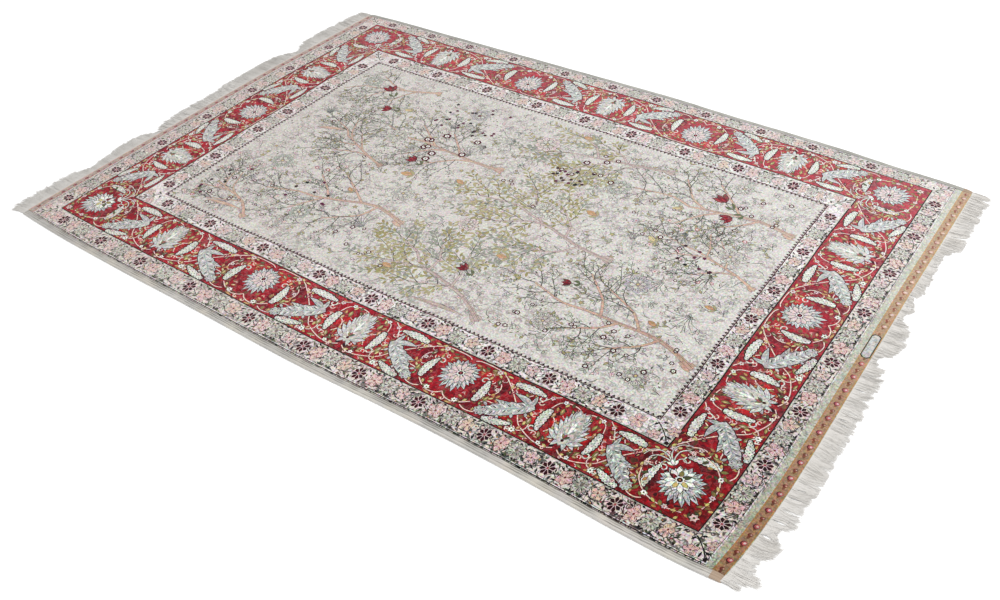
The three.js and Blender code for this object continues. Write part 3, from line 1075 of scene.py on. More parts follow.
def sprig(pen, rng):
    """A small plant in outline for the ground between the larger ones."""
    kind = rng.random()
    line = rng.choice(("stem", "stem", "dusk", "slate"))
    quiet = rng.choice(("pale", "pale", "fog", "blush", "sage", "lilac"))
    if kind < 0.46:
        length = rng.uniform(14, 22)
        stroke(pen, length, rng.uniform(-4, 4), line)
        for k, turn in enumerate((46, -44)):
            at = pen.to(complex(length * (0.3 + 0.35 * k), 0), turn)
            at.drawn([blade(rng.uniform(7.5, 10.5), 4.2, 3)], quiet, line, 0.7)
    elif kind < 0.62:
        pen.drawn([star(rng.uniform(4.2, 6.8), 2.9, 5)], quiet, line, 0.65)
        pen.fill(disc(1.4, 4), rng.choice(("dusk", "sand", "rose")))
    elif kind < 0.82:
        for k in range(3):
            at = pen.to(spin(120 * k, 1.5), 120 * k + rng.uniform(-25, 25))
            at.fill(blade(rng.uniform(6, 10), 2.6, 2), rng.choice(("leafgrey", "stem", "sage", "moss")))
    else:
        stroke(pen, rng.uniform(12, 20), rng.uniform(-7, 7), line, 1.3)
        stroke(pen.to(3+2j, 24), rng.uniform(8, 14), rng.uniform(-4, 4), "leafgrey", 1.1)


def scattered(rng, middle, along, across):
    return middle + complex(rng.uniform(-along, along), rng.uniform(-across, across))


def garden(pen):
    rng = random.Random(11)
    pitch = 21.6
    rows, columns = 30, 52
    for row in range(rows):
        for column in range(columns):
            x = FIELD.left + 12 + pitch * (column + 0.5 * (row % 2)) + rng.uniform(-6, 6)
            y = FIELD.front + 13 + pitch * row + rng.uniform(-6, 6)
            at = pen.to(complex(x, y), rng.uniform(0, 360))
            if in_field(at, 19):
                sprig(at, rng)
    for root, degrees, length, seed, kind in TREES:
        roots(pen.to(root, degrees), length * 0.024, BARKS[kind])
        limb(pen.to(root, degrees), random.Random(seed), length * 0.62, length * 0.024, 3, kind)
    for place, degrees, length, width, yarn in BANKS:
        bank(pen.to(place, degrees), length, width, yarn)
    for k in range(16):
        at = pen.to(scattered(rng, 0j, 500, 280), rng.uniform(100, 260))
        fern(at, rng, rng.uniform(34, 54), rng.choice(("stem", "slate", "leafgrey")))
    for place, size, yarn in PEONIES:
        peony(pen.to(place, 13 * size), size, yarn)
    for place, degrees, size, yarn in ACCENTS:
        accent(pen.to(place, degrees), size, yarn)
    for middle, along, across, count, radius in RING_GROUPS:
        for _ in range(count):
            at = pen.to(scattered(rng, middle, along, across), rng.uniform(0, 60))
            ring_rosette(at, radius * rng.uniform(0.8, 1.2))
    for middle, along, across, count in BERRY_GROUPS:
        for _ in range(count):
            at = pen.to(scattered(rng, middle, along, across), rng.uniform(0, 70))
            if in_field(at, 10):
                at.fill(star(4.4, 3.2, 5), rng.choice(("plum", "ink", "night")))
    for place, degrees, size in TULIPS:
        tulip(pen.to(place, degrees), size)


# Lines, grounds and the flat-woven ends.


def surround(pen, outside, inside, yarn):
    """The band between two frames, as four strips with mitred ends."""
    for out, home in zip(sides_of(outside.corners()), sides_of(inside.corners())):
        pen.fill(steps(*out, 40) + steps(*home[::-1], 40), yarn)


def strip(pen, left, right, yarn, count=44, low=-545.0, high=545.0):
    """A stripe across the rug's width, from one X to another."""
    rows = steps(low, high, count)
    pen.fill([complex(left, y) for y in reversed(rows)] + [complex(right, y) for y in rows], yarn)


# The beads of the tan band.
BEADS = 61
BEAD_PITCH = 17.1
TAN_MIDDLE = 756


def bead(pen, size, in_front):
    """A round flower, darker in the band's front half, and with its highlight to one side."""
    rim, body, spot = ("wine", "coral", "pink") if in_front else ("rust", "salmon", "peach")
    if size < 0.8:
        rim, body, spot = "shadow", "rust", "salmon"
    pen.fill(disc(5.4 * size, 10), rim)
    pen.to(0.5-1.2j).fill(disc(4.3 * size, 9), body)
    pen.to(0.6-1.6j).fill(disc(2.2 * size, 6), spot)


def right_band(pen):
    strip(pen, 736, 747, "linen")
    for i in range(60):
        y = -512 + 17.3 * i
        at = pen.to(complex(737.4 + 2.2 * (i % 3), y + 3 * math.sin(i * 2.4)), 84)
        at.fill(blade(9.5, 2.2, 3), "fog" if i % 2 else "pale")
    strip(pen, 746.4, 780, "gold")
    strip(pen, 748.2, 762.4, "tan")
    strip(pen, 764.4, 780, "linen")
    for i in range(BEADS):
        pen.to(complex(TAN_MIDDLE, -522.5 + BEAD_PITCH * i), 90).fill(blade(7.5, 4.4, 4), "rust")
    for i in range(BEADS):
        y = -514 + BEAD_PITCH * i
        if not -46 < y < 34:
            bead(pen.to(complex(TAN_MIDDLE, y), 90), 0.88 if i % 2 else 0.62, y < 0)
    panel(pen)


def panel(pen):
    """A small bare panel set into the tan band."""
    middle = 755-6j
    for inset, yarn in ((0.0, "night"), (1.5, "fog"), (2.4, "ash")):
        half_x, half_y, cut = 8.0 - inset, 31.0 - inset, 4.2
        corners = []
        for sx, sy in ((1, -1), (1, 1), (-1, 1), (-1, -1)):
            first = complex(sx * half_x, sy * (half_y - cut))
            second = complex(sx * (half_x - cut), sy * half_y)
            corners += [first, second] if sx == sy else [second, first]
        pen.to(middle).fill(corners, yarn)


def left_band(pen):
    strip(pen, -770, -737.5, "biscuit")
    strip(pen, -738.2, -736.4, "rose")
    strip(pen, -736.6, -733.4, "pale")
    for i in range(34):
        y = -505 + 30.5 * i
        at = pen.to(complex(-744.5, y), 90)
        at.fill(blade(11, 6.2, 3), "wine")
        at.to(2+0.5j).fill(blade(5, 2.0, 3), "coral")
        pen.to(complex(-742, y + 15), 90).fill(blade(7, 2.6, 3), "rose")
    strip(pen, -770, -750.4, "salmon")


def draw_rug(pen):
    """The whole design, from its grounds up."""
    pen.fill(RED_OUTSIDE.outline(-3), "red")
    main_border(pen)
    surround(pen, GUARD_OUTSIDE.grown(30), RED_OUTSIDE.grown(3.4), "guard")
    surround(pen, RED_OUTSIDE.grown(3.6), RED_OUTSIDE.grown(1.4), "pale")
    surround(pen, RED_OUTSIDE.grown(1.4), RED_OUTSIDE.grown(-0.4), "night")
    guard(pen, RED_OUTSIDE, GUARD_OUTSIDE, OUTER_ROSETTES)
    surround(pen, GUARD_OUTSIDE, GUARD_OUTSIDE.grown(-1.1), "night")
    surround(pen, GUARD_OUTSIDE.grown(-1.4), GUARD_OUTSIDE.grown(-3.0), "haze")
    surround(pen, GUARD_OUTSIDE.grown(-3.0), GUARD_OUTSIDE.grown(-3.7), "stem")
    right_band(pen)
    left_band(pen)
    pen.fill(RED_INSIDE.outline(-1.4), "night")
    pen.fill(RED_INSIDE.outline(0.8), "pale")
    pen.fill(RED_INSIDE.outline(2.6), "haze")
    guard(pen, FIELD, RED_INSIDE, INNER_ROSETTES)
    pen.fill(FIELD.outline(-2.2), "maroon")
    pen.fill(FIELD.outline(-0.4), "field")
    sawtooth(pen, FIELD)
    garden(pen)


# The cloth: the charted shapes, settled to the edges as they lie and knotted into one mesh for each of its
# three parts.

DESIGN_ENDS = {"left": -753.0, "right": 765.0}
DESIGN_SIDES = {"front": -520.0, "back": 520.0}
HALF_LENGTH = 755
HALF_WIDTH = 520
DRIFT = 0.9
STILL_FROM = 735
SEAM_FRAME = FIELD.grown(1.3)
SEAM_ACROSS = -75.0
ROUNDED_EDGE = 1.6
BAND_RAMP = 0.9
NEARNESS = 0.02
SETTLED_BY = 8


def settle(point):
    """Where a point of the flat design comes to lie on the rug."""
    x, y = point.real, point.imag
    side = "back" if y > 0 else "front"
    end = "right" if x > 0 else "left"
    pull_y = (cloth_side(side, x) - DESIGN_SIDES[side]) * (y / HALF_WIDTH) ** 2
    pull_x = (cloth_end(end, y) - DESIGN_ENDS[end]) * (x / HALF_LENGTH) ** 2
    inside = max(0.0, 1 - abs(y / HALF_WIDTH) ** 6) * max(0.0, 1 - abs(x / STILL_FROM) ** 6)
    drift_x = math.sin(y / 47 + 1.3 * math.sin(x / 180)) + 0.5 * math.sin(y / 19 + x / 90)
    drift_y = math.sin(x / 53 + 1.1 * math.sin(y / 150)) + 0.5 * math.sin(x / 21 + y / 70)
    return complex(x + pull_x + DRIFT * inside * drift_x, y + pull_y + DRIFT * inside * drift_y)


def cloth_corner(end, side):
    x = cloth_end(end, DESIGN_SIDES[side])
    y = cloth_side(side, x)
    return complex(cloth_end(end, y), y)


def cloth_outline():
    """The cloth's own outline as it lies, counterclockwise from its front left corner."""
    corners = [cloth_corner(end, side) for end, side in CORNERS]

    def long_run(side, first, second):
        return [complex(x, cloth_side(side, x)) for x in steps(first.real, second.real, 92)[:-1]]

    def short_run(end, first, second):
        return [complex(cloth_end(end, y), y) for y in steps(first.imag, second.imag, 64)[:-1]]

    points = long_run("front", corners[0], corners[1]) + short_run("right", corners[1], corners[2])
    return points + long_run("back", corners[2], corners[3]) + short_run("left", corners[3], corners[0])


def band_line(end, shift=0.0):
    """Where the pile stops at one end, across the whole width."""
    reach = BAND_WIDTH[end] + shift
    return [complex(cloth_end(end, y) - outward(end) * reach, y) for y in steps(-560, 560, 60)]


def low_waves(x, y):
    """The slight unevenness of a rug on a floor, between about -2 and 2."""
    wave = math.sin(x / 210 + 0.8) * math.sin(y / 170 + 0.4)
    return wave + 0.6 * math.sin(x / 95 + y / 130) + 0.4 * math.sin(y / 62 - x / 160)


def face_height(x, y, cloth):
    """How high the cloth's face is at one place, in millimetres."""
    pile, band = cloth.pile_height / MILLIMETRE, cloth.band_height / MILLIMETRE
    end = "right" if x > 0 else "left"
    inside_end = outward(end) * (cloth_end(end, y) - x)
    share = min(max((inside_end - BAND_WIDTH[end]) / BAND_RAMP, 0.0), 1.0)
    level = band + (pile - band) * share
    edge = max(min(cloth_side("back", x) - y, y - cloth_side("front", x), inside_end), 0.0)
    rounding = max(0.0, 1 - edge / ROUNDED_EDGE)
    level -= (0.45 * level - 0.4) * rounding**2
    return level + cloth.unevenness / MILLIMETRE * low_waves(x, y) * min(1.0, edge / 60)


class Knotting:
    """Joins outlines, lines and the design's shapes into one set of triangles."""

    def __init__(self):
        self.points = []
        self.lines = []
        self.faces = []
        self.yarns = []

    def put(self, shape):
        first = len(self.points)
        self.points += [Vector((p.real, p.imag)) for p in shape]
        return list(range(first, len(self.points)))

    def face(self, shape, yarn=None):
        self.faces.append(self.put(shape))
        self.yarns.append(yarn)

    def line(self, path, closed=False):
        places = self.put(path)
        self.lines += list(zip(places, places[1:]))
        if closed:
            self.lines.append((places[-1], places[0]))

    def knot(self, holes):
        """The triangles inside the first face and outside the next few, with the yarn on top of each."""
        found = delaunay_2d_cdt(self.points, self.lines, self.faces, 1, NEARNESS, True)
        points, triangles, given, covers = found[0], found[2], found[3], found[5]
        running = self.running_out(points, triangles, covers)
        gaps = set(range(1, 1 + holes))
        kept, yarns = [], []
        for triangle, cover in zip(triangles, covers):
            cover = set(cover)
            if 0 in cover and not cover & gaps:
                kept.append(tuple(triangle))
                yarns.append(self.yarns[max(cover - running)])
        return points, kept, yarns, given

    def running_out(self, points, triangles, covers):
        """Shapes whose outline crosses itself, so that their filling ran out of them."""
        covered = [0.0] * len(self.faces)
        for triangle, cover in zip(triangles, covers):
            a, b, c = (points[k] for k in triangle)
            size = 0.5 * ((b[0] - a[0]) * (c[1] - a[1]) - (c[0] - a[0]) * (b[1] - a[1]))
            for shape in cover:
                covered[shape] += size
        own = [abs(area([complex(*self.points[k]) for k in face])) for face in self.faces]
        return {i for i, size in enumerate(own) if covered[i] > 1.6 * size + 4}


def yarns_beside(triangles, yarns):
    """The yarn to the left of each triangle's sides."""
    beside = {}
    for (a, b, c), yarn in zip(triangles, yarns):
        beside[(a, b)] = beside[(b, c)] = beside[(c, a)] = yarn
    return beside


class Outlines:
    """The lines between yarns that show once everything hidden under a later shape is gone."""

    STRAIGHT = 0.07
    STRAIGHT_ON_RIM = 0.002

    def __init__(self, points, triangles, yarns):
        self.points = [complex(*point) for point in points]
        beside = yarns_beside(triangles, yarns)
        self.ties = {}
        self.rim = set()
        for (a, b), yarn in beside.items():
            other = beside.get((b, a))
            if other is None:
                self.rim |= {a, b}
            if other is None or (other != yarn and a < b):
                self.ties.setdefault(a, set()).add(b)
                self.ties.setdefault(b, set()).add(a)

    def straighten(self):
        """Takes out points that lie on the line between their two neighbours."""
        for k in list(self.ties):
            if len(self.ties[k]) != 2:
                continue
            a, b = self.ties[k]
            span = self.points[b] - self.points[a]
            off = abs((span.conjugate() * (self.points[k] - self.points[a])).imag) / abs(span)
            limit = self.STRAIGHT_ON_RIM if k in self.rim else self.STRAIGHT
            if off < limit and b not in self.ties[a]:
                del self.ties[k]
                self.ties[a] = self.ties[a] - {k} | {b}
                self.ties[b] = self.ties[b] - {k} | {a}

    def lines(self):
        return [(a, b) for a, others in self.ties.items() for b in others if a < b]


def open_sides(triangles):
    """The open edges of a set of triangles: each of their points, with the next one."""
    sides = {side for a, b, c in triangles for side in ((a, b), (b, c), (c, a))}
    return {a: b for a, b in sides if (b, a) not in sides}


def rim_loops(triangles, places):
    """The open edges as closed loops of points, the one round the largest area first."""
    after = open_sides(triangles)
    loops = []
    while after:
        start, point = next(iter(after.items()))
        del after[start]
        loop = [start]
        while point != start:
            loop.append(point)
            point = after.pop(point)
        loops.append(loop)
    return sorted(loops, key=lambda loop: -abs(area([places[k] for k in loop])))


def knit_again(points, triangles, yarns, dots):
    """The same face with only its visible outlines left, and far fewer triangles."""
    outlines = Outlines(points, triangles, yarns)
    for _ in range(3):
        outlines.straighten()
    again = Knotting()
    loops = rim_loops(triangles, outlines.points)
    for loop in loops:
        ring = [outlines.points[k] for k in loop if k in outlines.ties]
        again.face(ring if area(ring) > 0 else ring[::-1])
    first = len(again.points)
    number = {k: first + i for i, k in enumerate(outlines.ties)}
    again.put([outlines.points[k] for k in number])
    again.lines = [(number[a], number[b]) for a, b in outlines.lines()]
    again.put(dots)
    fresh, kept, _, _ = again.knot(len(loops) - 1)
    tree = BVHTree.FromPolygons([Vector((*p, 0.0)) for p in points], triangles)
    middles = [(fresh[a] + fresh[b] + fresh[c]) / 3 for a, b, c in kept]
    below = [tree.find_nearest(Vector((*middle, 0.0)))[2] for middle in middles]
    return fresh, kept, [yarns[k] for k in below]


class ClothPart:
    """One closed part of the cloth: its face, its walls and its plainer back."""

    FACE_MAP = (0.0, 0.3, 1.0, 0.7)
    BACK_MAP = (0.0, 0.0, 0.4, 0.28)

    def __init__(self, cloth):
        self.cloth = cloth
        self.places = []
        self.triangles = []
        self.yarns = []
        self.maps = []

    def lay_face(self, points, triangles, yarns):
        used = sorted({k for triangle in triangles for k in triangle})
        number = {k: i for i, k in enumerate(used)}
        self.places = [(*points[k], face_height(*points[k], self.cloth)) for k in used]
        self.box = [min(p[i] for p in self.places) for i in (0, 1)]
        self.box += [max(p[i] for p in self.places) - self.box[i] for i in (0, 1)]
        for triangle, yarn in zip(triangles, yarns):
            self.add([number[k] for k in triangle], yarn, self.FACE_MAP)

    def add(self, triangle, yarn, area_map=None, corners=None):
        self.triangles.append(tuple(triangle))
        self.yarns.append(yarn)
        self.maps.append(corners or [self.mapped(k, area_map) for k in triangle])

    def mapped(self, k, area_map):
        left, low, width, height = area_map
        across = (self.places[k][0] - self.box[0]) / self.box[2]
        up = (self.places[k][1] - self.box[1]) / self.box[3]
        return left + width * across, low + height * up

    def flat(self, k):
        return complex(*self.places[k][:2])

    def close(self, grounds):
        """Walls down to the floor, and a back that shows the design's grounds."""
        beside = yarns_beside(self.triangles, self.yarns)
        loops = rim_loops(self.triangles, [complex(x, y) for x, y, _ in self.places])
        face_size = len(self.triangles)
        knotting = Knotting()
        rings = []
        for loop in loops:
            feet = self.wall(loop, beside)
            rings.append(feet[::-1] if rings else feet)
            knotting.face([self.flat(k) for k in rings[-1]], "guard")
        rim = [k for ring in rings for k in ring]
        for shape, yarn in grounds:
            knotting.face([settle(p) for p in shape], yarn)
        points, triangles, yarns, given = knotting.knot(len(loops) - 1)
        used = sorted({k for triangle in triangles for k in triangle})
        number = {k: self.foot_for(points[k], given[k], rim) for k in used}
        back = [[number[k] for k in reversed(triangle)] for triangle in triangles]
        self.split_walls(face_size, points_between(back, set(rim)))
        for triangle, yarn in zip(back, yarns):
            self.add(triangle, yarn, self.BACK_MAP)

    def foot_for(self, point, given, rim):
        for i in given:
            if i < len(rim):
                return rim[i]
        self.places.append((point[0], point[1], 0.0))
        return len(self.places) - 1

    def wall(self, loop, beside):
        first, count = len(self.places), len(loop)
        self.places += [(self.places[k][0], self.places[k][1], 0.0) for k in loop]
        feet = list(range(first, first + count))
        for i, k in enumerate(loop):
            j = (i + 1) % count
            yarn = beside[(k, loop[j])]
            low, high = 0.45 + 0.5 * i / count, 0.45 + 0.5 * (i + 1) / count
            self.add((k, feet[i], feet[j]), yarn, corners=[(low, 0.2), (low, 0.1), (high, 0.1)])
            self.add((k, feet[j], loop[j]), yarn, corners=[(low, 0.2), (high, 0.1), (high, 0.2)])
        return feet

    def split_walls(self, first, between):
        """Splits a wall's triangle where the back has a point between its two feet."""
        for i in range(first, len(self.triangles)):
            top, a, c = self.triangles[i]
            b = between.get((c, a))
            if b is not None:
                at_top, at_a, at_c = self.maps[i]
                at_b = ((at_a[0] + at_c[0]) / 2, at_a[1])
                self.triangles[i] = (top, a, b)
                self.maps[i] = [at_top, at_a, at_b]
                self.add((top, b, c), self.yarns[i], corners=[at_top, at_b, at_c])

    def piece(self, name, yarns):
        piece = mesh_from(name, self.places, self.triangles)
        tint = piece.data.color_attributes.new("yarn", "FLOAT_COLOR", "CORNER")
        values = np.array([yarns[yarn] for yarn in self.yarns], dtype=np.float32)
        tint.data.foreach_set("color", np.repeat(values, 3, axis=0).ravel())
        flat_map = piece.data.uv_layers.new(name="OFBake")
        flat_map.data.foreach_set("uv", np.array(self.maps, dtype=np.float32).ravel())
        return piece


def points_between(triangles, rim):
    """The open outline's points that aren't on the rim, by the two that each lies between."""
    after = open_sides(triangles)
    before = {b: a for a, b in after.items()}
    return {(before[k], after[k]): k for k in after if k not in rim}


def back_grounds():
    return [(RED_OUTSIDE.outline(), "red"), (RED_INSIDE.outline(), "guard"), (FIELD.outline(), "field")]


def half_of(shape, side):
    """What a shape has to the left, -1, or to the right, 1, of the seam across the borders."""
    half = []
    for a, b in sides_of(shape):
        a_stays, b_stays = (side * (p.real - SEAM_ACROSS) >= 0 for p in (a, b))
        if a_stays:
            half.append(a)
        if a_stays != b_stays:
            share = (SEAM_ACROSS - a.real) / (b.real - a.real)
            half.append(complex(SEAM_ACROSS, (a + share * (b - a)).imag))
    return half


def cloth_outlines():
    """The outline of each part of the cloth, and of the hole in it."""
    rim = cloth_outline()
    field = [settle(p) for p in SEAM_FRAME.outline()]
    return {
        "cloth_left": (half_of(rim, -1), field),
        "cloth_right": (half_of(rim, 1), field),
        "cloth_field": (field, None),
    }


def cloth_part(cloth, chart, outline, hole):
    """One part of the cloth: its outline, and the hole that the field fills."""
    knotting = Knotting()
    knotting.face(outline)
    if hole:
        knotting.face(hole)
        knotting.line(grow(cloth_outline(), -ROUNDED_EDGE), closed=True)
        for end in ("left", "right"):
            knotting.line(band_line(end))
            knotting.line(band_line(end, BAND_RAMP))
    for shape, yarn in chart.shapes:
        hidden = hole and well_inside(extent(shape), extent(hole))
        if overlaps(extent(shape), extent(outline)) and not hidden:
            knotting.face(shape, yarn)
    part = ClothPart(cloth)
    points, triangles, yarns, _ = knotting.knot(1 if hole else 0)
    dots = [complex(x, y) for x in range(-740, 760, 30) for y in range(-510, 520, 30)]
    points, triangles, yarns = knit_again(points, triangles, yarns, dots)
    part.lay_face(points, triangles, yarns)
    part.close(back_grounds())
    return part


def extent(shape):
    xs, ys = [p.real for p in shape], [p.imag for p in shape]
    return min(xs), max(xs), min(ys), max(ys)


def overlaps(shape, other):
    return shape[0] < other[1] and shape[1] > other[0] and shape[2] < other[3] and shape[3] > other[2]


def well_inside(shape, other):
    low = all(shape[i] > other[i] + SETTLED_BY for i in (0, 2))
    return low and all(shape[i] < other[i] - SETTLED_BY for i in (1, 3))


# The corded edges along the two long sides.

# Across a selvedge, from the cloth outwards: two low cords and a fuller outer one.
SELVEDGE_PROFILE = [
    # across, height, stripe
    (0.0, 0.0, 0.5), (0.0, 1.9, 0.5), (0.07, 2.4, 0.9), (0.15, 2.6, 1.0), (0.24, 2.45, 0.7),
    (0.3, 2.05, 0.0), (0.36, 2.45, 0.7), (0.45, 2.7, 1.0), (0.54, 2.55, 0.7), (0.6, 2.2, 0.0),
    (0.66, 2.7, 0.7), (0.74, 3.1, 1.0), (0.82, 3.25, 1.0), (0.9, 3.0, 0.8), (0.96, 2.4, 0.5),
    (1.0, 1.5, 0.3), (0.985, 0.6, 0.2), (0.93, 0.0, 0.1),
]
SELVEDGE_STEPS = 560


def selvedge_piece(side, name):
    """One selvedge as it lies, swept along the cloth's edge, with its wraps drawn in and let out."""
    width = SELVEDGE_WIDTH[side]
    start, end = cloth_corner("left", side), cloth_corner("right", side)
    rng = random.Random(len(name))
    phase = [rng.uniform(0, 6.28) for _ in range(4)]
    places, maps = [], []
    for i, x in enumerate(steps(start.real + 1.4, end.real - 1.4, SELVEDGE_STEPS)):
        inner = long_edge(side, x) - outward(side) * width
        swell = 1 + 0.05 * math.sin(x / 31 + phase[0]) + 0.035 * math.sin(x / 11 + phase[1])
        wrap = 0.05 * (-1) ** i
        taper = min(1.0, 0.35 + 0.65 * math.sqrt(min(i, SELVEDGE_STEPS - i) / 4))
        for across, height, stripe in SELVEDGE_PROFILE:
            lean = 0.25 * math.sin(x / 57 + phase[2]) * across
            y = inner + outward(side) * across * (width + lean)
            full = height * (swell if across > 0.6 else 1 + 0.5 * (swell - 1))
            places.append((x, y, max(full * taper + wrap * stripe, 0.0)))
            maps.append((i / SELVEDGE_STEPS, across if height else 1 - 0.02 * across))
    ring = len(SELVEDGE_PROFILE)
    faces = []
    for i in range(SELVEDGE_STEPS):
        for k in range(ring):
            a, b = i * ring + k, i * ring + (k + 1) % ring
            quad = (a, b, b + ring, a + ring)
            faces.append(quad[::-1] if side == "back" else quad)
    last = SELVEDGE_STEPS * ring
    caps = [tuple(range(ring))[::-1], tuple(range(last, last + ring))]
    faces += [cap[::-1] for cap in caps] if side == "back" else caps
    piece = mesh_from(name, places, faces)
    layer = piece.data.uv_layers.new(name="OFBake")
    for loop in piece.data.loops:
        layer.data[loop.index].uv = maps[loop.vertex_index]
    return piece


# The fringes: fine warp ends in locks, lying on the floor.

LOCK_PITCH = 7.9
STRAND_STATIONS = [0.0, 0.14, 0.34, 0.56, 0.78, 1.0]
STRAND_SIDES = 3


def lock_swing(y, end):
    """How far the tips swing to one side: slow waves that neighbouring locks share."""
    phase = 0.6 if end == "left" else 2.1
    return 4.5 * math.sin(y / 61 + phase) + 2.5 * math.sin(y / 23 + 2 * phase)


class Lock:
    """Strands that lie together: their length, lean and gathering, and how they curl."""

    def __init__(self, end, y, rng):
        ragged = 0.12 if end == "right" else 0.07
        hang = read_table(FRINGE_LENGTHS[end], "y", "length", y)
        self.y = y
        self.length = hang * (1 + ragged * rng.uniform(-1, 1))
        self.swing = lock_swing(y, end) + rng.gauss(0, 2.6 if end == "right" else 1.2)
        self.gather = rng.uniform(0.05, 0.4) if end == "left" else rng.uniform(0.04, 0.3)
        self.curl = rng.gauss(0, 1.6 if end == "right" else 0.8)
        self.lift = rng.uniform(0.0, 1.3)
        self.shade = rng.uniform(0, 1)


def strand_line(end, y, lock, rng):
    """One strand's middle line, from inside the cloth's edge to its tip on the floor."""
    length = lock.length * (1 - abs(rng.gauss(0, 0.12))) * (1 if rng.random() > 0.04 else 1.12)
    stray = rng.gauss(0, 2.6) if rng.random() > 0.1 else rng.gauss(0, 9)
    root = cloth_end(end, y)
    reach = min(abs(root) + length, FRINGE_REACH - rng.uniform(0, 1.2))
    wobble, phase = rng.gauss(0, 0.55), rng.uniform(0, 6.28)
    lift = lock.lift * rng.uniform(0.3, 1) + (rng.uniform(0, 2.2) if rng.random() < 0.05 else 0)
    line = []
    for share in STRAND_STATIONS:
        x = outward(end) * (abs(root) - 1.2 + (reach - abs(root) + 1.2) * share)
        pulled = (lock.y - y) * lock.gather * share**1.5
        bend = (lock.swing + stray) * share**1.6 * length / 40 + lock.curl * math.sin(3.1 * share)
        sway = wobble * math.sin(5 * share + phase) * share
        height = 0.4 + 1.0 * (1 - share) ** 2 + lift * math.sin(math.pi * share**0.8) * 0.6
        line.append((x, y + pulled + bend + sway, height))
    return line


def strand_rings(line, thickness):
    """Round corners about each point of a strand's line, thinner towards the tip."""
    path = np.array(line)
    along = np.gradient(path, axis=0)
    along /= np.linalg.norm(along, axis=1)[:, None]
    across = np.cross(along, [0.0, 0.0, 1.0])
    across /= np.linalg.norm(across, axis=1)[:, None]
    upward = np.cross(across, along)
    radius = 0.5 * thickness * np.array([1.0, 1.05, 1.05, 0.98, 0.78, 0.36])
    rings = []
    for k in range(STRAND_SIDES):
        turn = 2 * math.pi * (k + 0.25) / STRAND_SIDES
        offset = math.cos(turn) * across + math.sin(turn) * upward
        rings.append(path + offset * radius[:, None])
    points = np.stack(rings, axis=1)
    points[:, :, 2] = np.maximum(points[:, :, 2], 0.02)
    return points.reshape(-1, 3)


def strand_faces():
    """The faces of one strand, modelled once for all of them."""
    count, sides = len(STRAND_STATIONS), STRAND_SIDES
    faces = []
    for i in range(count - 1):
        for k in range(sides):
            a, b = i * sides + k, i * sides + (k + 1) % sides
            faces += [(a, b + sides, b), (a, a + sides, b + sides)]
    last = (count - 1) * sides
    faces += [(0, 1, 2), (last, last + 2, last + 1)]
    return np.array(faces)


def fringe_piece(end, name, settings):
    rng = random.Random(31 if end == "left" else 47)
    front = long_edge("front", cloth_end(end, -530)) + 1.5
    back = long_edge("back", cloth_end(end, 520)) - 1.5
    lock_count = round((back - front) / LOCK_PITCH)
    pitch = (back - front) / lock_count
    locks = [Lock(end, front + pitch * (i + 0.5) + rng.uniform(-1.2, 1.2), rng) for i in range(lock_count)]
    thickness = settings.strand_width / MILLIMETRE
    strands, shades = [], []
    for i in range(settings.strands):
        y = front + (back - front) * (i + 0.5) / settings.strands + rng.uniform(-0.2, 0.2)
        near = min(int((y - front + rng.gauss(0, 1.1)) / pitch), lock_count - 1)
        lock = locks[max(near, 0)]
        line = strand_line(end, y, lock, rng)
        strands.append(strand_rings(line, thickness * rng.uniform(0.75, 1.25)))
        shades.append(0.6 * lock.shade + 0.4 * rng.random())
    points = np.concatenate(strands)
    faces = strand_faces()
    per = len(STRAND_STATIONS) * STRAND_SIDES
    polygons = np.concatenate([faces + per * i for i in range(len(strands))])
    piece = mesh_from(name, points.tolist(), polygons.tolist())
    tone = piece.data.attributes.new("strand", "FLOAT", "POINT")
    tone.data.foreach_set("value", np.repeat(np.array(shades, dtype=np.float32), per))
    layer = piece.data.uv_layers.new(name="OFBake")
    corners = points[polygons.ravel()]
    low, high = points.min(axis=0), points.max(axis=0)
    spread_out = (corners - low) / (high - low)
    layer.data.foreach_set("uv", np.stack([spread_out[:, 1], spread_out[:, 0]], axis=1).ravel())
    return piece


# Finishes.

# The yarns by name, in plain sRGB steps from 0 to 255.
YARN_COLOURS = {
    "red": (158, 18, 40), "scarlet": (180, 34, 36), "crimson": (126, 10, 36), "ink": (64, 40, 48),
    "night": (36, 40, 40), "cloud": (213, 216, 215), "mist": (168, 181, 181), "snow": (238, 240, 234),
    "cream": (228, 230, 222), "moss": (104, 112, 84), "olive": (156, 148, 104), "sage": (176, 169, 132),
    "straw": (210, 198, 146), "sand": (198, 160, 116), "vine": (238, 216, 206), "bark": (92, 30, 38),
    "blush": (222, 206, 204), "rose": (176, 104, 112), "maroon": (80, 22, 38), "plum": (98, 44, 70),
    "slate": (78, 86, 88), "pink": (222, 201, 197), "salmon": (210, 178, 166), "peach": (222, 203, 192),
    "stem": (84, 84, 80), "pale": (212, 210, 202), "guard": (224, 216, 212), "field": (213, 210, 205),
    "tan": (184, 157, 132), "gold": (190, 156, 116), "coral": (198, 126, 126),
    "shadow": (142, 84, 80), "fog": (186, 190, 182), "leafgrey": (150, 154, 142), "branch": (210, 180, 162),
    "bough": (200, 184, 178), "lilac": (194, 190, 194), "dusk": (140, 128, 124), "linen": (202, 203, 190),
    "biscuit": (186, 171, 161), "rust": (150, 110, 88), "wine": (128, 74, 82),
    "haze": (234, 229, 228), "ash": (205, 206, 204),
}

# How strongly the shader draws fine twigs over a yarn: dark ones above 0, pale ones below.
TWIGGED = {
    "field": 1.0, "guard": 1.7, "haze": 1.3, "linen": 0.6, "pale": 0.7, "cloud": 0.7, "cream": 0.6,
    "mist": 0.5, "ash": 0.8, "sage": 0.3, "branch": 0.4, "bough": 0.5, "biscuit": 0.5, "tan": 0.25,
    "lilac": 0.4, "red": -1.0, "scarlet": -1.0, "crimson": -1.0,
}


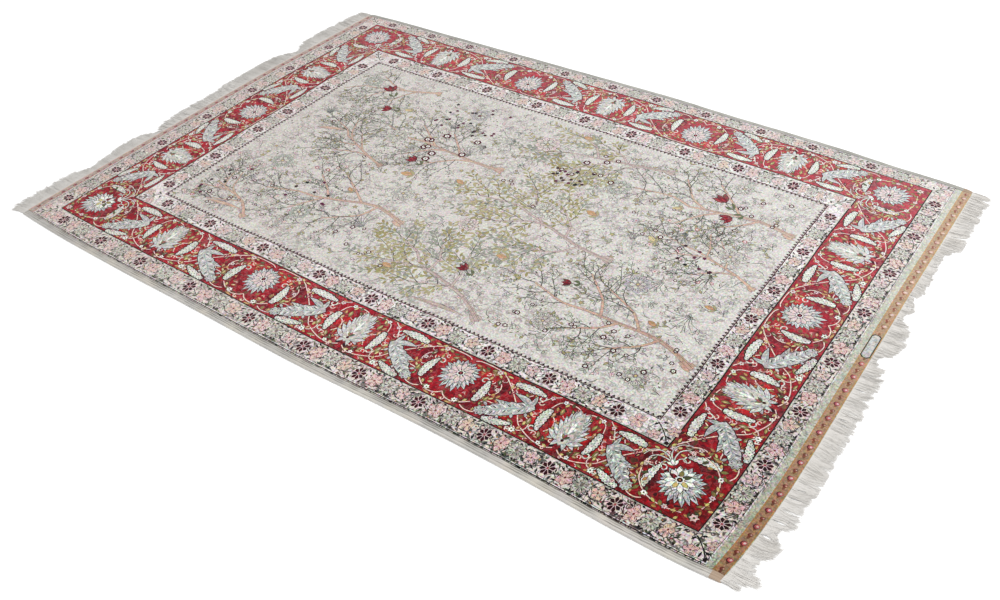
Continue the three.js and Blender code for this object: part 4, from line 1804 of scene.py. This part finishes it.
def linear(step):
    share = step / 255
    return share / 12.92 if share <= 0.04045 else ((share + 0.055) / 1.055) ** 2.4


def yarn_values(colours):
    """Each yarn's linear colour, with the ones the user may set taken from the panel."""
    values = {}
    for name, steps_of in YARN_COLOURS.items():
        chosen = getattr(colours, name, None)
        rgb = tuple(chosen) if chosen is not None else tuple(linear(step) for step in steps_of)
        values[name] = (*rgb, TWIGGED.get(name, 0.0))
    return values


class Wire:
    """A node's output that takes part in plain arithmetic: each operation adds a Math node."""

    def __init__(self, finish, socket):
        self.finish = finish
        self.socket = socket

    def __add__(self, other):
        return self.finish.maths("ADD", self, other)

    def __sub__(self, other):
        return self.finish.maths("SUBTRACT", self, other)

    def __rsub__(self, other):
        return self.finish.maths("SUBTRACT", other, self)

    def __mul__(self, other):
        return self.finish.maths("MULTIPLY", self, other)

    def __truediv__(self, other):
        return self.finish.maths("DIVIDE", self, other)

    __radd__ = __add__
    __rmul__ = __mul__


class Finish:
    """A material, built node by node round one Principled shader."""

    def __init__(self, name, constants):
        self.material = bpy.data.materials.new(name)
        self.material.use_nodes = True
        self.tree = self.material.node_tree
        self.tree.nodes.clear()
        self.shader = self.tree.nodes.new("ShaderNodeBsdfPrincipled")
        output = self.tree.nodes.new("ShaderNodeOutputMaterial")
        self.tree.links.new(self.shader.outputs["BSDF"], output.inputs["Surface"])
        for socket, value in constants.items():
            self.shader.inputs[socket].default_value = value

    def node(self, kind, settings=None, inputs=None, output=0):
        """One node: its settings first, then the values or links of its sockets."""
        node = self.tree.nodes.new("ShaderNode" + kind)
        for name, value in (settings or {}).items():
            setattr(node, name, value)
        for name, value in (inputs or {}).items():
            self.feed(node.inputs[name], value)
        return Wire(self, node.outputs[output])

    def feed(self, socket, value):
        if isinstance(value, Wire):
            self.tree.links.new(value.socket, socket)
        else:
            socket.default_value = value

    def maths(self, operation, *values):
        return self.node("Math", {"operation": operation}, dict(enumerate(values)))

    def within(self, value):
        return self.node("Math", {"operation": "ADD", "use_clamp": True}, {0: value, 1: 0.0})

    def tint(self, share, first, second, way="MIX"):
        settings = {"data_type": "RGBA", "blend_type": way}
        return self.node("Mix", settings, {0: share, 6: first, 7: second}, 2)

    def times(self, first, second):
        """Two colours multiplied."""
        return self.tint(1.0, first, second, "MULTIPLY")

    def place(self):
        return self.node("TexCoord", output="Object")

    def axis(self, vector, which):
        return self.node("SeparateXYZ", None, {0: vector}, which)

    def stretched(self, vector, x, y, z):
        return self.node("VectorMath", {"operation": "MULTIPLY"}, {0: vector, 1: (x, y, z)})

    def noise(self, vector, scale, detail=2.0, rough=0.5, warp=0.0):
        values = {"Vector": vector, "Scale": scale, "Detail": detail, "Roughness": rough, "Distortion": warp}
        return self.node("TexNoise", None, values)

    def colours(self, vector, scale):
        """Three noises at once, as a colour."""
        return self.node("TexNoise", None, {"Vector": vector, "Scale": scale, "Detail": 1.0}, 1)

    def scaled(self, vector, by, plus):
        settings = {"operation": "MULTIPLY_ADD"}
        return self.node("VectorMath", settings, {0: vector, 1: (by, by, by), 2: (plus, plus, plus)})

    def turned(self, vector, degrees):
        angle = math.radians(degrees)
        return self.node("VectorRotate", {"rotation_type": "Z_AXIS"}, {"Vector": vector, "Angle": angle})

    def cells(self, vector, scale):
        """The distance to the nearest of many scattered points, and that point's own chance."""
        distance = self.node("TexVoronoi", None, {"Vector": vector, "Scale": scale})
        colour = Wire(self, distance.socket.node.outputs["Color"])
        return distance, self.node("SeparateColor", None, {0: colour})

    def line_at(self, value, level, width, edge=1.0):
        """1 where a value passes a level, and 0 a width away from it: a higher edge falls later."""
        return self.within((1 - self.maths("ABSOLUTE", value - level) / width) * edge)

    def above(self, value, level):
        return self.maths("GREATER_THAN", value, level)

    def grey(self, level):
        return self.node("CombineColor", None, {0: level, 1: level, 2: level})

    def finish_with(self, colour, roughness, height, distance, strength=1.0):
        self.feed(self.shader.inputs["Base Color"], colour)
        self.feed(self.shader.inputs["Roughness"], roughness)
        values = {"Height": height, "Distance": distance, "Strength": strength}
        bump = self.node("Bump", None, values)
        self.feed(self.shader.inputs["Normal"], bump)
        return self.material


def matt_silk(gloss, sheen):
    """What stays the same all over a piece of silk."""
    return {"Specular IOR Level": gloss, "Sheen Weight": sheen, "Sheen Roughness": 0.5}


def outlined_leaves(finish, place, degrees, scale):
    """The outlines of slim leaves that all lean one way, and a chance for each leaf."""
    leaning = finish.stretched(finish.turned(place, degrees), 0.42, 1.0, 1.0)
    distance, chance = finish.cells(leaning, scale)
    return finish.line_at(distance, 0.30, 0.11, 2.0) * finish.above(chance, 0.30)


def twig_lines(finish, place, everywhere):
    """Fine lines, as of small flowers, leaves and stems drawn in outline, and the flowers' insides."""
    shaken = finish.colours(place, 70.0)
    shift = finish.scaled(shaken, 0.012, -0.006)
    drift = finish.node("VectorMath", {"operation": "ADD"}, {0: place, 1: shift})
    distance, chance = finish.cells(drift, 92.0)
    flowers = finish.line_at(distance, 0.36, 0.11, 2.0) * finish.above(chance, 0.5)
    first_way = outlined_leaves(finish, drift, 38.0, 150.0)
    other_way = outlined_leaves(finish, drift, -48.0, 160.0)
    choice = finish.above(finish.noise(place, 15.0, 1.0), 0.5)
    leaves = first_way * choice + other_way * (1 - choice)
    stems = finish.line_at(finish.noise(place, 60.0, 1.0, 0.5, 0.5), 0.5, 0.034, 2.0)
    patches = finish.noise(finish.scaled(place, 1.0, 3.0), 17.0, 2.0)
    busy = finish.within((patches - 0.38) * 6.0 + everywhere)
    drawn = finish.maths("MAXIMUM", finish.maths("MAXIMUM", flowers, leaves), stems)
    petals_in = finish.above(0.36, distance) * finish.above(chance, 0.6)
    return drawn * busy, petals_in * busy


def twigged_yarn(finish, place, yarn, twigged, along):
    """The yarn with fine twigs: dark on the pale grounds, and pale ones with dark leaves on the red."""
    on_pale, on_red = finish.within(twigged), finish.within(twigged * -1.0)
    everywhere = finish.within(finish.maths("ABSOLUTE", twigged - 1.0) * 4) * 0.8
    lines, petals_in = twig_lines(finish, place, everywhere)
    y = finish.axis(place, 1)
    front_guard = finish.within((-0.45 - y) * 20) * along * 0.2
    guards = finish.within(twigged - 0.9)
    strength = 0.42 + along * (0.06 + guards * 0.42) + guards * 0.02 + front_guard
    strength = strength * (1 - finish.within(y + 0.4) * 0.4)
    warmth = finish.within((finish.noise(place, 9.0, 1.0) - 0.4) * 4)
    ink = finish.tint(warmth, (0.15, 0.20, 0.17, 1.0), (0.30, 0.21, 0.21, 1.0))
    lots = finish.noise(place, 120.0, 2.0, 0.6) * 2.0 + finish.noise(place, 28.0, 1.0) * 0.7 - 0.45
    x = finish.axis(place, 0)
    right_side = finish.within((x - 0.45) * 6) * finish.within((y + 0.4) * 6)
    # Painted sheen and painted light: the red ground paler and pinker towards the back and the right.
    red_sheen = 0.02 + finish.within((y - 0.2) * 6) * 0.08 + right_side * 0.04
    red = finish.tint(red_sheen, finish.times(yarn, finish.grey(lots)), (1.0, 0.45, 0.52, 1.0))
    dyed = finish.tint(on_red, yarn, red)
    filled = finish.tint(petals_in * on_pale * 0.5, dyed, (0.62, 0.50, 0.49, 1.0))
    dark = finish.times(yarn, ink)
    drawn = finish.tint(lines * on_pale * strength, filled, dark)
    leaves = finish.tint(warmth, (0.34, 0.26, 0.12, 1.0), (0.07, 0.025, 0.03, 1.0))
    on_ground = finish.tint(petals_in * on_red * 0.85, drawn, leaves)
    return finish.tint(lines * on_red * (1 - petals_in) * 0.15, on_ground, (0.72, 0.44, 0.42, 1.0))


def pile_finish(cloth):
    """Cut silk pile: yarn colours with knots, dye bands across the rug and a soft sheen, with painted sheen
    towards the back and painted shade towards the left end and the front right corner.
    """
    finish = Finish("silk_pile", matt_silk(0.07, 0.03))
    place = finish.place()
    yarn = finish.node("Attribute", {"attribute_name": "yarn"}, output="Color")
    twigged = finish.node("Attribute", {"attribute_name": "yarn"}, output="Alpha")
    knot = cloth.knot_size
    snapped = finish.node("VectorMath", {"operation": "SNAP"}, {0: place, 1: (knot, knot, 1.0)})
    each_knot = finish.node("TexWhiteNoise", {"noise_dimensions": "3D"}, {"Vector": snapped})
    clumps = finish.noise(place, 300.0, 2.0, 0.6)
    flecks = finish.scaled(finish.colours(place, 240.0), 0.6, 0.7)
    bands = finish.noise(finish.stretched(place, 34.0, 1.2, 0.0), 1.0, 3.0, 0.65)
    along = finish.within(finish.axis(place, 0) * 0.7 + 0.5)
    drawn = twigged_yarn(finish, place, yarn, twigged, along)
    y = finish.axis(place, 1)
    near, far = finish.within((-0.25 - y) * 4), finish.within((y - 0.1) * 2.5)
    # Painted sheen: paler and cooler towards the back; a little paler towards the front as painted light.
    painted_sheen_and_light = finish.tint(far, finish.grey(1 + near * 0.065), (1.02, 1.035, 1.04, 1.0))
    # Painted shade: darker and warmer towards the left end.
    aged_and_shaded = finish.tint(along, (0.94, 0.91, 0.90, 1.0), (1.0, 1.0, 1.0, 1.0))
    # The painted shade and the painted sheen laid over the yarns.
    painted_sheen_and_shade = finish.times(finish.times(drawn, aged_and_shaded), painted_sheen_and_light)
    flecked = finish.times(painted_sheen_and_shade, flecks)
    level = 0.63 + each_knot * 0.22 + (clumps - 0.5) * 0.8 + bands * 0.10
    shaded = finish.times(flecked, finish.grey(level))
    # Painted shade: colours deeper and darker towards the front right corner, most in the borders, and a
    # little deeper towards the front.
    corner = finish.node("VectorMath", {"operation": "DISTANCE"}, {0: place, 1: (0.74, -0.50, 0.0)}, 1)
    off_field = finish.within(finish.maths("ABSOLUTE", twigged - 1.0) * 4)
    corner_shade = finish.within(1 - corner * 1.5) * (0.25 + off_field * 0.8)
    corner_shaded = finish.node("Gamma", None, {"Color": shaded, "Gamma": 1 + corner_shade * 0.50 + near * 0.13})
    rounded = finish.node("TexVoronoi", None, {"Vector": place, "Scale": 0.9 / knot})
    height = 1.0 - rounded * 0.8 + clumps * 0.5
    roughness = 0.5 + clumps * 0.12 + bands * 0.06
    return finish.finish_with(corner_shaded, roughness, height, 0.00035, 0.6)


def selvedge_finish(edges):
    """Grey wool and silk wrapped round cords: stripes along them, painted shade in the grooves between the
    cords and along the seam to the cloth, close wraps and a tan end.
    """
    finish = Finish("wrapped_edge", matt_silk(0.12, 0.05))
    place = finish.place()
    wraps = finish.node(
        "TexWave",
        {"wave_type": "BANDS", "bands_direction": "X"},
        {"Vector": place, "Scale": 3.1 / edges.wrap_size / 20, "Distortion": 0.6, "Detail": 1.0},
    )
    across = finish.axis(finish.node("UVMap", {"uv_map": "OFBake"}), 1)
    wavering = across + (finish.noise(place, 12.0, 2.0) - 0.5) * 0.16
    wavering = wavering + (finish.noise(place, 90.0, 2.0) - 0.5) * 0.2
    grooves = finish.line_at(wavering, 0.31, 0.13, 1.5) + finish.line_at(wavering, 0.61, 0.12, 1.5)
    seam_shade = finish.line_at(wavering, 0.03, 0.17, 1.5)
    streaks = finish.noise(finish.stretched(place, 6.0, 300.0, 120.0), 1.0, 2.0, 0.6)
    soil = finish.noise(place, 26.0, 3.0, 0.6)
    x = finish.axis(place, 0)
    plain = finish.above(finish.axis(place, 1), 0.0)
    level = (0.28 + streaks * 0.76 + soil * 0.58 + wraps * 0.06) * (1 - plain * 0.19)
    # Painted shade: darker towards the left end, as on the pile.
    level = level * (0.85 + finish.within(x * 0.7 + 0.5) * 0.12)
    tinged = finish.tint(finish.noise(place, 20.0, 2.0), (0.56, 0.50, 0.53, 1.0), (0.50, 0.49, 0.44, 1.0))
    base = finish.tint(0.5 - plain * 0.3, (*edges.colour, 1.0), tinged)
    # On the selvedge this is only soil: brown blotches on the front one.
    aged_and_shaded = finish.tint(finish.within(soil * 3 - 1.2) * (1 - plain) * 0.6, base, (0.50, 0.45, 0.37, 1.0))
    shaded = finish.times(aged_and_shaded, finish.grey(level))
    patchy = 0.16 + finish.within(finish.noise(place, 34.0, 2.0) * 4 - 1.4) * 0.56
    to_the_right = finish.within(x * 1.2 + 0.2)
    # Painted shade: dark in the grooves between the cords and along the seam to the cloth, in patches,
    # stronger on the seam towards the right.
    cut = finish.within(grooves * patchy + seam_shade * (patchy + to_the_right * 0.45)) * (1 - plain * 0.6)
    groove_shaded = finish.tint(cut, shaded, (0.12, 0.115, 0.10, 1.0))
    tan = (*(0.68 * linear(step) for step in YARN_COLOURS["tan"]), 1.0)
    ended = finish.tint(finish.above(x, 0.7366 + plain * 0.0093) * 0.85, groove_shaded, tan)
    return finish.finish_with(ended, 0.62 + soil * 0.1, wraps + streaks * 0.4, 0.0003, 0.7)


def fringe_finish(fringes):
    """Silk warp ends, a little different from lock to lock."""
    finish = Finish("warp_ends", matt_silk(0.12, 0.06))
    place = finish.place()
    tone = finish.node("Attribute", {"attribute_name": "strand"}, output="Fac")
    soil = finish.noise(place, 30.0, 2.0, 0.5)
    fine = finish.noise(finish.stretched(place, 60.0, 900.0, 300.0), 1.0, 1.0, 0.5)
    warm = finish.tint(finish.within(soil * 1.6 - 0.4), (*fringes.colour, 1.0), (*fringes.shade, 1.0))
    right_end = finish.above(finish.axis(place, 0), 0.0)
    # Painted shade: the left fringe darker than the right one.
    level = (0.93 + tone * 0.09 + fine * 0.07) * (0.92 + right_end * 0.08)
    shaded = finish.times(warm, finish.grey(level - 0.08))
    return finish.finish_with(shaded, 0.5 + tone * 0.12, fine, 0.0002, 0.5)


def floor_finish(stage):
    """A plain pale floor with the faintest mottling."""
    finish = Finish("pale_floor", {"Specular IOR Level": 0.1})
    mottle = finish.noise(finish.place(), 3.0, 4.0, 0.6)
    shaded = finish.times((*stage.floor_colour, 1.0), finish.grey(0.985 + mottle * 0.03))
    return finish.finish_with(shaded, 0.85 + mottle * 0.1, mottle, 0.0005, 0.2)


# What a user would change.


def colour(name, rgb, description):
    default = tuple(linear(step) for step in rgb)
    about = {"name": name, "description": description, "default": default, "subtype": "COLOR"}
    return FloatVectorProperty(size=3, min=0.0, max=1.0, **about)


def size(name, metres, description, low=0.0, high=1.0):
    about = {"name": name, "description": description, "default": metres, "unit": "LENGTH"}
    return FloatProperty(min=low, max=high, precision=5, **about)


class RugClothSettings(bpy.types.PropertyGroup):
    """Sizes of the woven cloth."""

    pile_height: size("Pile height", 0.004, "How thick the cloth is where it has pile", 0.001, 0.02)
    band_height: size("Band height", 0.0022, "How thick the flat-woven ends are", 0.0005, 0.01)
    knot_size: size("Knot", 0.0011, "Width of one knot", 0.0005, 0.01)
    unevenness: size("Unevenness", 0.0002, "How far the cloth rises and sinks as it lies", 0.0, 0.005)


class RugYarnSettings(bpy.types.PropertyGroup):
    """The main yarn colours; the others are in the script's own list."""

    red: colour("Border red", YARN_COLOURS["red"], "Ground of the main border")
    field: colour("Field ground", YARN_COLOURS["field"], "Ground of the flowering field")
    guard: colour("Guard ground", YARN_COLOURS["guard"], "Ground of the two narrow borders")
    cloud: colour("Palmette", YARN_COLOURS["cloud"], "Palmettes and forked leaves")
    cream: colour("Scalloped leaf", YARN_COLOURS["cream"], "Long scalloped leaves")
    olive: colour("Olive leaf", YARN_COLOURS["olive"], "Leaves of the borders and the field")
    maroon: colour("Rosette", YARN_COLOURS["maroon"], "Rosettes and small ring flowers")
    tan: colour("Tan band", YARN_COLOURS["tan"], "The flat-woven band at the right end")


class RugEdgeSettings(bpy.types.PropertyGroup):
    """The selvedges."""

    colour: colour("Selvedge", (186, 186, 178), "The wrapping yarn of both long edges")
    wrap_size: size("Wrap", 0.0014, "Width of one wrap", 0.0005, 0.01)


class RugFringeSettings(bpy.types.PropertyGroup):
    """The fringes."""

    strands: IntProperty(name="Strands", description="At each end", default=5000, min=100, max=6000)
    strand_width: size("Strand width", 0.0007, "Thickness of one strand at its root", 0.0002, 0.003)
    colour: colour("Fringe", (210, 207, 203), "The warp ends")
    shade: colour("Fringe shade", (191, 187, 181), "The warp ends where they have yellowed")


class RugStageSettings(bpy.types.PropertyGroup):
    """Floor, light and camera."""

    floor_colour: colour("Floor", (250, 250, 250), "The plain floor")
    key_power: FloatProperty(name="Key light", description="Power of the soft light", default=60.0, min=0.0)
    sky_power: FloatProperty(name="Sky", description="Strength of the even light", default=0.9, min=0.0)
    lens: FloatProperty(name="Lens", description="Focal length in millimetres", default=36.81, min=10.0)


class RugSettings(bpy.types.PropertyGroup):
    """All settings of the rug."""

    cloth: PointerProperty(name="Cloth", description="The woven cloth", type=RugClothSettings)
    yarns: PointerProperty(name="Yarns", description="The main colours", type=RugYarnSettings)
    edges: PointerProperty(name="Selvedges", description="The corded edges", type=RugEdgeSettings)
    fringes: PointerProperty(name="Fringes", description="The loose ends", type=RugFringeSettings)
    stage: PointerProperty(name="Stage", description="Floor, light and camera", type=RugStageSettings)


def dress(piece, material, slot, *nodes):
    """Gives a finished piece its material, its body and the nodes that it stands for; its slot is not used.
    """
    piece.data.materials.clear()
    piece.data.materials.append(material)
    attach(piece, "root")
    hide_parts(*nodes)
    return piece


def smooth(piece, degrees=35):
    select_only(piece)
    bpy.ops.object.shade_smooth_by_angle(angle=math.radians(degrees))


class RUG_OT_cloth(bpy.types.Operator):
    """Knots the woven cloth: the two halves of its borders, with the flat-woven ends, and its field."""

    bl_idname = "rug.cloth"
    bl_label = "Woven cloth"

    def execute(self, context):
        settings = context.scene.rug
        chart = Chart()
        draw_rug(Pen(chart, settle))
        yarns = yarn_values(settings.yarns)
        material = pile_finish(settings.cloth)
        for name, (outline, hole) in cloth_outlines().items():
            piece = cloth_part(settings.cloth, chart, outline, hole).piece(name, yarns)
            smooth(piece, 25)
            dress(piece, material, "pile", "woven_cloth")
        return {"FINISHED"}


class RUG_OT_selvedges(bpy.types.Operator):
    """Winds the corded selvedges along both long sides."""

    bl_idname = "rug.selvedges"
    bl_label = "Selvedges"

    def execute(self, context):
        material = selvedge_finish(context.scene.rug.edges)
        for side in ("front", "back"):
            piece = selvedge_piece(side, f"wrapped_edge_{side}")
            smooth(piece, 60)
            dress(piece, material, "selvedge", f"selvedge_{side}")
        return {"FINISHED"}


class RUG_OT_fringes(bpy.types.Operator):
    """Lays out the strands of both fringes."""

    bl_idname = "rug.fringes"
    bl_label = "Fringes"

    def execute(self, context):
        settings = context.scene.rug.fringes
        material = fringe_finish(settings)
        for end in ("left", "right"):
            piece = fringe_piece(end, f"warp_ends_{end}", settings)
            dress(piece, material, "fringe", f"fringe_{end}")
        return {"FINISHED"}


CAMERA_PLACE = (1.0043, -1.28605, 1.12058)
CAMERA_TURN = (49.9084, 2.38106, 35.4512)


class RUG_OT_stage(bpy.types.Operator):
    """Sets up the pale floor, the soft light and the camera."""

    bl_idname = "rug.stage"
    bl_label = "Floor, light and camera"

    def execute(self, context):
        stage = context.scene.rug.stage
        bpy.ops.object.select_all(action="DESELECT")
        bpy.ops.mesh.primitive_plane_add(size=30.0, location=(0, 0, -0.0004))
        bpy.ops.object.transform_apply(location=True)
        floor = context.active_object
        floor.name = "floor"
        floor.data.materials.append(floor_finish(stage))
        self.light("key_light", (1.6, 0.9, 2.6), 2.6, stage.key_power)
        self.light("fill_light", (-1.8, -2.2, 2.4), 3.0, stage.key_power * 0.35)
        world = bpy.data.worlds.new("even_light")
        world.use_nodes = True
        world.node_tree.nodes["Background"].inputs["Color"].default_value = (1.0, 1.0, 1.0, 1.0)
        world.node_tree.nodes["Background"].inputs["Strength"].default_value = stage.sky_power
        context.scene.world = world
        context.scene.view_settings.view_transform = "Standard"
        self.camera(context, stage.lens)
        return {"FINISHED"}

    def light(self, name, place, width, power):
        bpy.ops.object.light_add(type="AREA", location=place)
        light = bpy.context.active_object
        light.name = name
        light.data.size = width
        light.data.energy = power
        aim = Vector((0.0, 0.0, 0.0)) - Vector(place)
        light.rotation_euler = aim.to_track_quat("-Z", "Y").to_euler()

    def camera(self, context, lens):
        turn = tuple(math.radians(angle) for angle in CAMERA_TURN)
        bpy.ops.object.camera_add(location=CAMERA_PLACE, rotation=turn)
        camera = context.active_object
        camera.name = "photo_camera"
        camera.data.lens = lens
        camera.data.sensor_width = 36.0
        context.scene.camera = camera


class RUG_PT_panel(bpy.types.Panel):
    """The rug's panel in the sidebar."""

    bl_idname = "RUG_PT_panel"
    bl_label = "Rug"
    bl_space_type = "VIEW_3D"
    bl_region_type = "UI"
    bl_category = "Rug"

    def draw(self, context):
        settings = context.scene.rug
        for group, operator in PARTS:
            box = self.layout.box()
            properties = getattr(settings, group)
            for name in properties.__annotations__:
                box.prop(properties, name)
            if operator:
                box.operator(operator)


PARTS = [
    ("yarns", None),
    ("cloth", "rug.cloth"),
    ("edges", "rug.selvedges"),
    ("fringes", "rug.fringes"),
    ("stage", "rug.stage"),
]

CLASSES = [
    RugClothSettings,
    RugYarnSettings,
    RugEdgeSettings,
    RugFringeSettings,
    RugStageSettings,
    RugSettings,
    RUG_OT_cloth,
    RUG_OT_selvedges,
    RUG_OT_fringes,
    RUG_OT_stage,
    RUG_PT_panel,
]


def register():
    for each in CLASSES:
        bpy.utils.register_class(each)
    bpy.types.Scene.rug = PointerProperty(type=RugSettings)


def unregister():
    del bpy.types.Scene.rug
    for each in reversed(CLASSES):
        bpy.utils.unregister_class(each)


# The width that the cloth was woven to, in metres.
CLOTH_WIDTH = 1.048


def flat_size(lines):
    return (lines.right - lines.left) * MILLIMETRE, (lines.back - lines.front) * MILLIMETRE


def declare_sheets():
    """Works out the flat sizes that the cloth's three parts were woven to, but keeps none of them."""
    field = flat_size(SEAM_FRAME)
    for end, trimmed_side in (("left", "front"), ("right", "back")):
        flat = (abs(SEAM_ACROSS - DESIGN_ENDS[end]) * MILLIMETRE, CLOTH_WIDTH)
        hole = abs(SEAM_ACROSS - getattr(SEAM_FRAME, end)) * MILLIMETRE * field[1]
        flat[0] * flat[1] - hole


def main():
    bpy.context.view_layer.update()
    register()
    bpy.ops.rug.stage()
    bpy.ops.rug.cloth()
    bpy.ops.rug.selvedges()
    bpy.ops.rug.fringes()
    declare_sheets()


if __name__ == "__main__":
    main()
